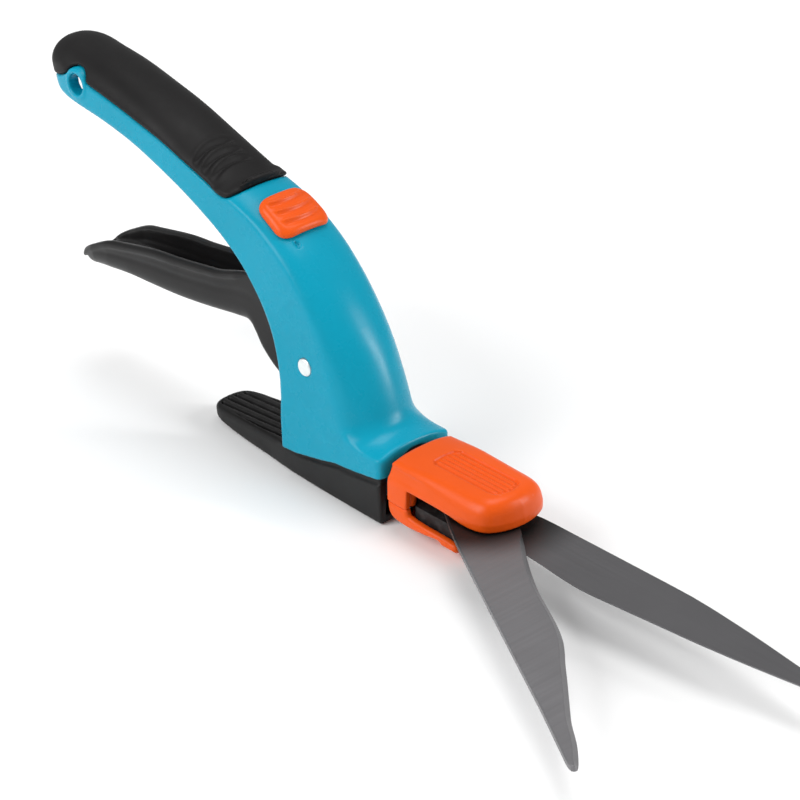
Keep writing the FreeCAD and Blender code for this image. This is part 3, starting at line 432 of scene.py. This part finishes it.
QUALITY = 1.0
shell = implicit("shell_skin", shell_field, (-134, -16.5, 3.5), (40, 16.5, 119), 0.62 * QUALITY)
grip = implicit("grip_skin", grip_field, (-135, -13.5, 88), (-20, 13.5, 119), 0.55 * QUALITY)


# ---------------------------------------------------------- thumb slider
def slider_field(x, y, z):
    p, r = slider_local(x, z)
    ay = np.abs(y)
    hw = 10.1 + 0.05 * p
    plan = smax(ay - hw, np.abs(p) - 8.3, 5.0)
    drop = 1.65 * (ay / 10.0) ** 2.5
    crown = 3.55 - 0.3 - drop - 0.010 * p * p
    q = p + 0.020 * y * y
    for p0 in (-4.4, -0.4, 3.6):
        fade = sstep(8.2 - ay, 0, 2.0)
        crown = crown + (0.55 * np.exp(-((q - p0) / 0.62) ** 2) - 0.40 * np.exp(-((q - p0 - 1.35) / 0.9) ** 2)) * fade
    f = smax(plan, r - crown, 1.9)
    f = smax(f, 0.62 - drop - r, 0.5)
    stem = np.maximum(np.maximum(np.abs(p) - 2.0, ay - 2.0), np.abs(r + 2.5) - 3.5)
    return np.minimum(f, stem)


slider = implicit("thumb_slider_skin", slider_field, (-28, -11.5, 76), (-7, 11.5, 94), 0.36)

# ------------------------------------------------------------ blade head
_nose = spline([(40.0, 13.7), (43.0, 14.15), (50.0, 14.3), (62.0, 14.35), (72.0, 14.3), (77.0, 14.15), (80.8, 13.4), (83.6, 11.6), (85.5, 8.4), (86.7, 4.4), (87.2, 0.0)], 6)
_planpts = [(x, y) for x, y in _nose] + [(x, -y) for x, y in _nose[::-1][1:]]
plan_sdf = poly_sdf(_planpts)
_recess = poly_sdf([(53.6, -5.9), (77.4, -5.9), (79.6, -5.2), (81.0, -3.0), (81.4, 0), (81.0, 3.0), (79.6, 5.2), (77.4, 5.9), (53.6, 5.9), (51.8, 4.4), (51.4, 0), (51.8, -4.4)])
cover_xz = poly_sdf([(38, 11.15), (48.9, 11.15), (49.3, 11.6), (49.5, 18.0), (49.8, 18.15), (58, 18.15), (64, 18.05), (69, 17.7), (73, 17.1), (76, 16.95), (95, 16.95), (95, 50), (38, 50)])


def cover_field(x, y, z):
    ay = np.abs(y)
    draft = 0.22 * np.clip(z - 19.5, 0, 10) + 0.05 * np.clip(12 - z, 0, 8)
    plan = plan_sdf(x, y) + draft
    rear = sstep(x, 58, 42)
    top = 26.75 - (0.9 + 1.2 * rear) * (ay / 13.0) ** 2.6
    kk = 2.0 + 2.6 * sstep(x, 44, 78)
    # shallow cheek under the rear shoulder
    cheek = 0.55 * sstep(x, 60, 50) * sstep(z, 17.4, 21.0) * sstep(24.4 - z, 0, 1.4)
    f = smax(plan + cheek, z - top, kk)
    f = smax(f, 40.0 - x, 0.9)
    f = smax(f, cover_xz(x, z), 0.5)
    inner = smax(plan + 2.1, z - top + 2.1, kk)
    inner = np.maximum(inner, 42.05 - x)
    f = smax(f, -inner, 0.4)
    rad = np.sqrt(y * y + (z - 14.4) ** 2)
    f = smax(f, -np.maximum(rad - 6.6, x - 43), 0.3)
    # ribbed recess on the crown
    rc = _recess(x, y)
    floor = top - 0.75
    rib = 0.5 * (1 + np.cos((y) * 2 * math.pi / 1.95))
    ribm = sstep(-rc, 0.9, 1.5)
    floor = floor + 0.55 * sstep(rib, 0.35, 0.75) * ribm
    f = smax(f, -np.maximum(rc, floor - z), 0.35)
    # bosses
    rb = np.sqrt((x - 46.6) ** 2 + (ay - 10.2) ** 2)
    boss = np.maximum(rb - 2.3, np.maximum(z - 16.3, 11.2 - z))
    f = np.minimum(f, boss)
    return np.maximum(f, -np.maximum(rb - 1.25, z - 15.4))


cover = implicit("head_cover_skin", cover_field, (39.5, -15, 10.5), (88, 15, 27.5), 0.42)

_bp = spline([(40.2, 9.0), (40.8, 7.0), (42.6, 5.5), (46.0, 4.8), (51.0, 4.6), (57.0, 5.1), (62.0, 5.5), (63.4, 4.9), (64.6, 3.7), (66.4, 3.25), (69.0, 3.2), (70.2, 3.7)], 5).tolist()
base_xz = poly_sdf(_bp + [(70.7, 5.0), (70.5, 6.6), (69.6, 7.1), (64.0, 7.6), (57.0, 8.1), (52.5, 8.4), (49.9, 8.9), (49.4, 9.6), (49.2, 11.1), (40.2, 11.1)])


def base_field(x, y, z):
    ay = np.abs(y)
    w = 14.1 - 0.06 * (11 - z) - 0.35 * sstep(x, 44, 40) - 0.5 * sstep(x, 56, 66)
    f = smax(ay - w, base_xz(x, z), 1.6)
    under = smax(ay - w, 4.4 - z, 3.0)
    f = np.maximum(f, under - 0.4)
    inner = np.maximum(ay - (w - 2.3), np.maximum(6.3 - z, 42.05 - x))
    f = smax(f, -inner, 0.4)
    rad = np.sqrt(y * y + (z - 14.4) ** 2)
    f = smax(f, -np.maximum(rad - 6.6, x - 43), 0.3)
    rb = np.sqrt((x - 46.6) ** 2 + (ay - 10.2) ** 2)
    f = np.maximum(f, -np.maximum(rb - 2.5, z - 5.9))
    return np.maximum(f, -(rb - 1.3))


base = implicit("head_base_skin", base_field, (39.5, -15, 2.5), (71.5, 15, 12), 0.42)

# ----------------------------------------------------------------- sole
_sp = spline([(-53.2, 0.0), (-52.9, 3.4), (-51.4, 6.6), (-47.5, 8.6), (-40.0, 9.4), (-31.0, 10.1), (-20.0, 11.1), (-9.0, 12.3), (1.0, 12.9), (11.0, 13.3), (22.0, 13.6), (33.0, 13.8), (37.5, 13.8)], 6)
sole_plan = poly_sdf([(x, y) for x, y in _sp] + [(x, -y) for x, y in _sp[::-1][:-1]])
SOLE_TOP = [(-60, 6.3), (-48, 6.6), (-30, 7.9), (-11.0, 9.5), (-9.9, 10.2), (-0.9, 10.9), (10.8, 13.25), (17.0, 14.8), (25.9, 15.6), (38.9, 17.45)]


def sole_field(x, y, z):
    ay = np.abs(y)
    top = np.interp(x, [p[0] for p in SOLE_TOP], [p[1] for p in SOLE_TOP])
    flare = 0.085 * (z - 6.0)
    plan = sole_plan(x, y) - flare
    heel = np.interp(x, [-60, -50, -40, -32, 60], [3.6, 1.7, 0.5, 0.0, 0.0])
    # bevelled band round the upper edge of the side wall
    band = 0.9 * sstep(z, top - 2.6, top - 1.7) * sstep(x, -12, 4)
    f = smax(plan + band, heel - z, 1.5)
    ktop = 0.5 + 1.6 * sstep(x, -8, -16)
    f = smax(f, z - top, ktop)
    f = smax(f, x - 37.5, 1.2)
    # ribbed tread behind the handle
    inside = sstep(-sole_plan(x, y), 1.5, 2.3) * sstep(x, -10.0, -11.2)
    gro = 0.5 * (1 - np.cos(y * 2 * math.pi / 3.3))
    f = smax(f, z - top + 1.5 * sstep(gro, 0.35, 0.8) * inside, 0.35)
    hol = np.maximum(np.maximum(ay - np.interp(x, [-6, 11, 40], [9.6, 10.9, 11.0]), -6.0 - x), 3.0 - z)
    f = smax(f, -hol, 0.5)
    # shallow parallel grooves under the sole
    und = np.maximum(sole_plan(x, y) + 3.0, np.abs(z) - 0.5)
    lines = np.abs(((x + 200) % 6.0) - 3.0) - 0.6
    f = np.maximum(f, -np.maximum(und, np.maximum(lines, -34 - x)))
    rs = np.sqrt((x - 14) ** 2 + (ay - 7.6) ** 2)
    return np.maximum(f, -(rs - 1.7))


sole = implicit("sole_skin", sole_field, (-54, -15.5, -0.2), (38, 15.5, 18), 0.5 * QUALITY)

# ---------------------------------------------------------------- lever
RIM = [(-120.0, 36.6), (-118.2, 39.4), (-115.6, 41.6), (-111.0, 44.3), (-103.4, 48.0), (-96.0, 49.8), (-80.0, 53.0), (-67.5, 54.4), (-51.8, 56.7), (-45.0, 58.0), (-32.1, 62.0), (-24.0, 62.6), (-16.5, 57.0), (-13.5, 51.2), (4.0, 50.8), (9, 50.8)]
UND = [(-120.0, 35.9), (-118.2, 34.7), (-115.2, 34.4), (-110.1, 35.6), (-96.1, 37.3), (-81.9, 37.9), (-67.8, 38.7), (-53.9, 40.3), (-40.3, 42.3), (-32.9, 42.8), (-28.5, 39.4), (-24.6, 35.2), (-16.0, 30.6), (-7.0, 29.0), (-3.4, 36.6), (3.0, 37.4), (9.0, 40.0)]
_rim = spline(RIM, 6)
_und = spline(UND, 6)
lever_in = poly_sdf([(-119.5, 90.0), (-118.6, 39.5), (-116.4, 38.2), (-110.0, 39.2), (-96.0, 40.8), (-82.0, 41.2), (-67.8, 42.0), (-53.9, 43.4), (-40.3, 45.6), (-32.0, 46.2), (-24.0, 46.6), (-19.5, 52.0), (-18.5, 60.0), (-18.5, 90.0)])


def lever_half(x):
    return np.interp(x, [-120, -117, -112, -104, -90, -60, -40, -20, 10], [6.4, 8.0, 9.0, 9.3, 9.0, 8.6, 8.3, 8.2, 8.1])


def lever_field(x, y, z):
    ay = np.abs(y)
    rim = np.interp(x, _rim[:, 0], _rim[:, 1])
    und = np.interp(x, _und[:, 0], _und[:, 1])
    w = lever_half(x)
    kb = np.interp(x, [-120, -30, -20, -10], [6.5, 6.5, 3.0, 1.5])
    belly = smax(ay - w, und - z, kb)
    f = smax(belly, z - rim, 0.9)
    f = smax(f, x - 8.0, 2.0)
    f = smax(f, -118.6 - x, 2.4)
    inn = smax(ay - (w - 2.3), lever_in(x, z), 2.4)
    inn = smax(inn, und + 2.6 - z, 3.0)
    f = smax(f, -inn, 0.6)
    # rolled lip along the rim
    wx = sstep(x, -30, -38)
    lip = np.sqrt((ay - (w - 0.6)) ** 2 + (z - (rim - 1.2)) ** 2) - 1.35 * wx
    lip = np.where(x < -30, lip, 9.0)
    lip = np.maximum(lip, -118.6 - x)
    f = smin(f, lip, 0.9)
    # long shallow flutes on the outside of the trough
    sd = np.clip((z - und) / np.maximum(rim - und, 4), 0, 1)
    flute = 0.28 * np.exp(-((sd - 0.62) / 0.07) ** 2) * sstep(x, -24, -40) * sstep(x, -112, -104)
    f = f + np.where(ay > w - 3.0, flute, 0)
    lx, lz = 3.0, 43.7
    hub = np.maximum(np.sqrt((x - lx) ** 2 + (z - lz) ** 2) - 6.9, ay - 8.2)
    f = smin(f, hub, 0.6)
    cx, cz = 5.495, 31.962
    ex, ez = cx - lx, cz - lz
    t = np.clip(((x - lx) * ex + (z - lz) * ez) / (ex * ex + ez * ez), 0, 1)
    arm = np.maximum(np.sqrt((x - lx - t * ex) ** 2 + (z - lz - t * ez) ** 2) - 2.9, ay - 2.8)
    f = np.minimum(f, arm)
    f = np.maximum(f, -(np.sqrt((x - lx) ** 2 + (z - lz) ** 2) - 2.05))
    return np.maximum(f, -(np.sqrt((x - cx) ** 2 + (z - cz) ** 2) - 1.5))


lever = implicit("lever_skin", lever_field, (-121.5, -11, 28), (11, 11, 65), 0.55 * QUALITY)

# --------------------------------------------------------------- blades
THK, GAP, AZ = 2.0, 0.3, 14.4


def blade(name, spine, cut, z0, z1, flat_side, width, place, grind):
    """A ground blade: spine and cutting edge as x,y curves; flat_side is the face that meets the other blade."""
    sp, ct = spline(spine, 10), spline(cut, 10)
    x0, x1 = max(sp[0, 0], ct[0, 0]), min(sp[-1, 0], ct[-1, 0])
    xs = np.unique(np.concatenate([np.linspace(x0, x1, 190), x1 - np.geomspace(0.02, 3.0, 12)]))
    ys, yc = np.interp(xs, sp[:, 0], sp[:, 1]), np.interp(xs, ct[:, 0], ct[:, 1])
    far, near = (z1, z0) if flat_side == "low" else (z0, z1)
    sg = np.sign(far - near)
    rows = []
    for x, a, b in zip(xs, ys, yc):
        d = math.copysign(1.0, b - a)
        span = abs(b - a)
        bev = min(width * float(sstep(x, grind, grind + 7.0)) + 0.25, span * 0.45)
        back = min(0.45, span * 0.2)
        e1 = min(0.15, span * 0.1)
        rows.append([(x, a, near + sg * 0.25), (x, a, far - sg * back * 0.8), (x, a + d * back, far), (x, b - d * (bev + 0.25), far), (x, b - d * bev, far - sg * 0.08), (x, b - d * e1, near + sg * 0.32), (x, b, near + sg * 0.18), (x, b, near), (x, (a + b) / 2, near), (x, a + d * 0.25, near)])
    V = np.array(rows).reshape(-1, 3)
    m = len(rows[0])
    F = []
    for i in range(len(rows) - 1):
        for j in range(m):
            k = (j + 1) % m
            F.append((i * m + j, i * m + k, (i + 1) * m + k, (i + 1) * m + j))
    F.append(tuple(range(m))[::-1])
    F.append(tuple((len(rows) - 1) * m + j for j in range(m)))
    ca, sa = math.cos(place[2]), math.sin(place[2])
    W = V.copy()
    W[:, 0] = place[0] + V[:, 0] * ca - V[:, 1] * sa
    W[:, 1] = place[1] + V[:, 0] * sa + V[:, 1] * ca
    ob = new_mesh(name, W, F)
    import bmesh
    bm = bmesh.new()
    bm.from_mesh(ob.data)
    bmesh.ops.recalc_face_normals(bm, faces=bm.faces)
    for e in bm.edges:
        if len(e.link_faces) == 2 and e.calc_face_angle(0) > math.radians(14):
            e.smooth = False
    bm.to_mesh(ob.data)
    bm.free()
    return ob


low_blade = blade(
    "lower_blade_skin",
    [(54.6, 5.6), (55.1, 6.8), (56.4, 7.9), (62, 8.4), (72, 8.7), (80, 9.6), (86, 10.5), (100, 10.65), (140, 10.7), (152, 10.3), (163, 9.3), (174.5, 8.0), (193, 5.4), (204, 3.7), (210.6, 2.5), (211.5, 1.9)],
    [(54.6, -5.6), (55.1, -6.8), (56.4, -7.9), (62, -8.4), (72, -8.5), (84.0, -8.6), (92.0, -8.5), (100.9, -9.1), (111.0, -10.2), (120.8, -10.7), (134.3, -9.6), (149.4, -8.2), (163.2, -6.9), (177.0, -5.2), (189.2, -3.4), (198.5, -1.9), (206, -0.5), (210.6, 0.7), (211.5, 1.4)],
    AZ - GAP / 2 - THK, AZ - GAP / 2, "high", 1.5, (0, 0, 0), 86)
up_blade = blade(
    "upper_blade_skin",
    [(-5.9, 2.0), (-5.6, -0.8), (-4.9, -3.2), (-3.4, -5.2), (-1.0, -6.6), (3, -7.4), (10, -7.65), (26.5, -7.7), (52.0, -6.3), (77.0, -4.7), (98.0, -3.35), (118.0, -2.05), (136, -1.2), (144.5, -0.8), (147.2, -0.3), (147.8, 0.3)],
    [(-5.9, 5.0), (-5.6, 8.4), (-4.9, 9.9), (-3.4, 11.2), (-1.0, 11.8), (3, 12.1), (10, 12.4), (23.0, 13.2), (31.0, 12.8), (39.0, 11.9), (47.0, 11.4), (55.0, 11.2), (62.0, 11.5), (71.0, 12.2), (78, 12.5), (85, 12.3), (91, 11.4), (96.4, 10.3), (107.0, 8.5), (118.7, 6.4), (126.0, 5.2), (135.5, 4.4), (143, 3.1), (147.0, 2.0), (147.8, 1.2)],
    AZ + GAP / 2, AZ + GAP / 2 + THK, "low", 1.4, (60, 0, math.radians(-32.4)), 26)


# ------------------------------------------------------------- materials
def mat(name):
    m = bpy.data.materials.new(name)
    m.use_nodes = True
    nt = m.node_tree
    b = nt.nodes["Principled BSDF"]
    return m, nt, b


def link(nt, a, b):
    nt.links.new(a, b)


def noise(nt, scale, detail=4, rough=0.5, coord=None, distort=0.0):
    n = nt.nodes.new("ShaderNodeTexNoise")
    n.inputs["Scale"].default_value = scale
    n.inputs["Detail"].default_value = detail
    n.inputs["Roughness"].default_value = rough
    n.inputs["Distortion"].default_value = distort
    if coord is not None:
        link(nt, coord, n.inputs["Vector"])
    return n


def ramp(nt, src, stops):
    r = nt.nodes.new("ShaderNodeValToRGB")
    while len(r.color_ramp.elements) < len(stops):
        r.color_ramp.elements.new(0.5)
    for e, (p, c) in zip(r.color_ramp.elements, stops):
        e.position = p
        e.color = (c, c, c, 1) if isinstance(c, float) else (*c, 1)
    link(nt, src, r.inputs[0])
    return r


def maprange(nt, src, a, b, lo=0.0, hi=1.0):
    n = nt.nodes.new("ShaderNodeMapRange")
    n.inputs["From Min"].default_value = lo
    n.inputs["From Max"].default_value = hi
    n.inputs["To Min"].default_value = a
    n.inputs["To Max"].default_value = b
    link(nt, src, n.inputs["Value"])
    return n


def bump(nt, b, height, strength, dist, prev=None):
    n = nt.nodes.new("ShaderNodeBump")
    n.inputs["Strength"].default_value = strength
    n.inputs["Distance"].default_value = dist
    link(nt, height, n.inputs["Height"])
    if prev is not None:
        link(nt, prev.outputs["Normal"], n.inputs["Normal"])
    link(nt, n.outputs["Normal"], b.inputs["Normal"])
    return n


def moulded(name, color, rough, grain, grain_depth, var=0.06, coat=0.0, spec=0.5, wear=0.05, rough_var=0.05, coat_rough=0.12):
    """Injection-moulded plastic or rubber: fine skin texture, faint colour drift, worn edges."""
    m, nt, b = mat(name)
    tc = nt.nodes.new("ShaderNodeTexCoord")
    obj = tc.outputs["Object"]
    drift = noise(nt, 28.0, 3, 0.5, obj)
    dk = tuple(c * (1 - var) for c in color)
    lt = tuple(min(1, c * (1 + var) + 0.002) for c in color)
    col = ramp(nt, drift.outputs["Fac"], [(0.32, dk), (0.68, lt)])
    geo = nt.nodes.new("ShaderNodeNewGeometry")
    edge = ramp(nt, geo.outputs["Pointiness"], [(0.52, 0.0), (0.60, 1.0)])
    scuff = noise(nt, 420.0, 5, 0.65, obj)
    sc = ramp(nt, scuff.outputs["Fac"], [(0.45, 0.0), (0.7, 1.0)])
    mul = nt.nodes.new("ShaderNodeMath")
    mul.operation = "MULTIPLY"
    link(nt, edge.outputs["Color"], mul.inputs[0])
    link(nt, sc.outputs["Color"], mul.inputs[1])
    mul2 = nt.nodes.new("ShaderNodeMath")
    mul2.operation = "MULTIPLY"
    link(nt, mul.outputs[0], mul2.inputs[0])
    mul2.inputs[1].default_value = wear
    mix = nt.nodes.new("ShaderNodeMixRGB")
    mix.inputs[2].default_value = (*[min(1, c * 0.5 + 0.35) for c in color], 1)
    link(nt, mul2.outputs[0], mix.inputs[0])
    link(nt, col.outputs["Color"], mix.inputs[1])
    link(nt, mix.outputs[0], b.inputs["Base Color"])
    rn = noise(nt, 95.0, 4, 0.6, obj)
    rr = maprange(nt, rn.outputs["Fac"], rough - rough_var, rough + rough_var, 0.3, 0.7)
    link(nt, rr.outputs[0], b.inputs["Roughness"])
    g = noise(nt, grain, 3, 0.55, obj)
    b1 = bump(nt, b, g.outputs["Fac"], 0.35, grain_depth)
    w = noise(nt, 60.0, 2, 0.4, obj)
    bump(nt, b, w.outputs["Fac"], 0.12, 0.0004, b1)
    b.inputs["Specular IOR Level"].default_value = spec
    b.inputs["Coat Weight"].default_value = coat
    b.inputs["Coat Roughness"].default_value = coat_rough
    return m


M_SHELL = moulded("shell_turquoise", (0.0, 0.272, 0.40), 0.27, 2600, 0.00002, var=0.035, coat=0.0, coat_rough=0.2, wear=0.10, spec=0.17)
M_ORANGE = moulded("orange_plastic", (0.70, 0.080, 0.002), 0.36, 2400, 0.00003, var=0.05, coat=0.0, coat_rough=0.22, wear=0.12, spec=0.22)
M_GRIP = moulded("grip_rubber", (0.0080, 0.0075, 0.0077), 0.50, 3200, 0.00006, var=0.12, spec=0.15, wear=0.05, rough_var=0.07)
M_LEVER = moulded("lever_plastic", (0.0075, 0.0071, 0.0073), 0.38, 3000, 0.00005, var=0.12, spec=0.22, wear=0.06)
M_BLACK = moulded("black_plastic", (0.0065, 0.0062, 0.0063), 0.44, 2800, 0.00006, var=0.15, spec=0.22, wear=0.08)


def steel(name, color, rough, brush_axis, streak=0.05, metallic=1.0, hub=None):
    """Ground or coated steel: long fine brush lines, faint clouding."""
    m, nt, b = mat(name)
    tc = nt.nodes.new("ShaderNodeTexCoord")
    mp = nt.nodes.new("ShaderNodeMapping")
    link(nt, tc.outputs["Object"], mp.inputs["Vector"])
    mp.inputs["Scale"].default_value = {"x": (12, 1400, 1400), "y": (1400, 12, 1400), "z": (500, 500, 500)}[brush_axis]
    br = noise(nt, 1.0, 4, 0.6, mp.outputs["Vector"])
    cl = noise(nt, 40.0, 3, 0.5, tc.outputs["Object"])
    col = ramp(nt, cl.outputs["Fac"], [(0.3, tuple(c * (1 - streak) for c in color)), (0.7, tuple(min(1, c * (1 + streak)) for c in color))])
    mix = nt.nodes.new("ShaderNodeMixRGB")
    mix.blend_type = "MULTIPLY"
    mix.inputs[0].default_value = 0.35
    rr = ramp(nt, br.outputs["Fac"], [(0.35, 0.82), (0.65, 1.0)])
    link(nt, col.outputs["Color"], mix.inputs[1])
    link(nt, rr.outputs["Color"], mix.inputs[2])
    link(nt, mix.outputs[0], b.inputs["Base Color"])
    if hub is not None:
        # painted shadow round the pivot, under the head: the blade colour turns near black within 26 mm of this point
        # and fades back to the steel colour by 42 mm
        sub_ = nt.nodes.new("ShaderNodeVectorMath")
        sub_.operation = "DISTANCE"
        flat = nt.nodes.new("ShaderNodeMapping")
        flat.inputs["Scale"].default_value = (1, 1, 0)
        link(nt, tc.outputs["Object"], flat.inputs["Vector"])
        link(nt, flat.outputs["Vector"], sub_.inputs[0])
        sub_.inputs[1].default_value = hub
        pivot_shadow = maprange(nt, sub_.outputs["Value"], 0.0, 1.0, 0.026, 0.042)
        pivot_shadow.interpolation_type = "SMOOTHSTEP"
        mx = nt.nodes.new("ShaderNodeMixRGB")
        mx.inputs[1].default_value = (0.006, 0.006, 0.006, 1)
        link(nt, pivot_shadow.outputs[0], mx.inputs[0])
        link(nt, mix.outputs[0], mx.inputs[2])
        link(nt, mx.outputs[0], b.inputs["Base Color"])
    mr = maprange(nt, br.outputs["Fac"], rough - 0.05, rough + 0.07, 0.3, 0.7)
    link(nt, mr.outputs[0], b.inputs["Roughness"])
    b.inputs["Metallic"].default_value = metallic
    bump(nt, b, br.outputs["Fac"], 0.10, 0.00004)
    return m


# hub= sets the centre of the painted shadow on each blade, under the head
M_BLADE_UP = steel("blade_upper_coat", (0.185, 0.181, 0.188), 0.44, "y", 0.05, 0.55, hub=(0.060, 0.0, 0.0))
M_BLADE_LO = steel("blade_lower_coat", (0.108, 0.106, 0.111), 0.46, "x", 0.05, 0.55, hub=(0.062, 0.0, 0.0))
M_BRIGHT = steel("bright_steel", (0.70, 0.70, 0.70), 0.25, "z", 0.05, 1.0)
M_BRASS = steel("bush_brass", (0.62, 0.45, 0.18), 0.32, "z", 0.08, 1.0)
M_PIN = steel("pin_zinc", (0.80, 0.84, 0.84), 0.34, "z", 0.04, 0.6)


def paint(ob, m):
    ob.data.materials.clear()
    ob.data.materials.append(m)


for ob, m, slot, body, node in (
    (shell, M_SHELL, "shell_turquoise", "handle", "body_shell"),
    (grip, M_GRIP, "soft_grip", "handle", "soft_grip"),
    (sole, M_BLACK, "black_plastic", "handle", "sole_plate"),
    (slider, M_ORANGE, "orange_plastic", "thumb_lock", "lock_slider"),
    (cover, M_ORANGE, "orange_plastic", "head", "head_cover"),
    (base, M_ORANGE, "orange_plastic", "head", "head_base"),
    (lever, M_LEVER, "lever_plastic", "lever", "squeeze_lever"),
    (low_blade, M_BLADE_LO, "blade_steel", "head", "lower_blade"),
    (up_blade, M_BLADE_UP, "blade_steel", "moving_blade", "upper_blade"),
):
    paint(ob, m)
    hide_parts(node)
    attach(ob, body)

SLOT_MAT = {"black_plastic": M_BLACK, "steel_bright": M_BRIGHT, "brass_bush": M_BRASS, "orange_plastic": M_ORANGE, "lever_plastic": M_LEVER, "shell_turquoise": M_SHELL, "soft_grip": M_GRIP, "blade_steel": M_BLADE_UP}
for sub in frame["record"]["subparts"]:
    ob = NODES[sub["node"]]
    if ob.hide_render:
        continue
    m = SLOT_MAT[sub["material_slot"]]
    if sub["node"] in ("lever_pin", "lever_pin_cap"):
        m = M_PIN
    if ob.data.materials:
        for i in range(len(ob.data.materials)):
            ob.data.materials[i] = m
    else:
        ob.data.materials.append(m)

# ---------------------------------------------------------- floor, light
fl = bpy.data.meshes.new("floor")
fl.from_pydata([(-3, -3, -0.0002), (3, -3, -0.0002), (3, 3, -0.0002), (-3, 3, -0.0002)], [], [(0, 1, 2, 3)])
floor = bpy.data.objects.new("floor", fl)
bpy.context.scene.collection.objects.link(floor)
m, nt, b = mat("floor_paper")
b.inputs["Base Color"].default_value = (0.90, 0.90, 0.90, 1)
b.inputs["Roughness"].default_value = 0.9
b.inputs["Specular IOR Level"].default_value = 0.1
fl.materials.append(m)

world = bpy.data.worlds.new("world")
bpy.context.scene.world = world
world.use_nodes = True
bg = world.node_tree.nodes["Background"]
bg.inputs["Color"].default_value = (1.0, 1.0, 1.0, 1)
bg.inputs["Strength"].default_value = 0.42


def area(name, pos, target, size, power, size_y=None):
    l = bpy.data.lights.new(name, "AREA")
    l.energy = power
    l.shape = "RECTANGLE"
    l.size = size
    l.size_y = size_y or size
    o = bpy.data.objects.new(name, l)
    bpy.context.scene.collection.objects.link(o)
    o.location = pos
    d = Vector(target) - Vector(pos)
    o.rotation_euler = d.to_track_quat("-Z", "Y").to_euler()
    return o


area("key", (-0.35, -1.15, 0.85), (0.0, 0, 0.05), 0.9, 16)
area("strip", (1.15, 1.0, 0.62), (0.03, 0, 0.05), 0.14, 13.0, 0.9)
area("top", (-0.1, 0.25, 1.6), (0.04, 0, 0.0), 0.9, 11)

bpy.context.scene.view_settings.view_transform = "Standard"
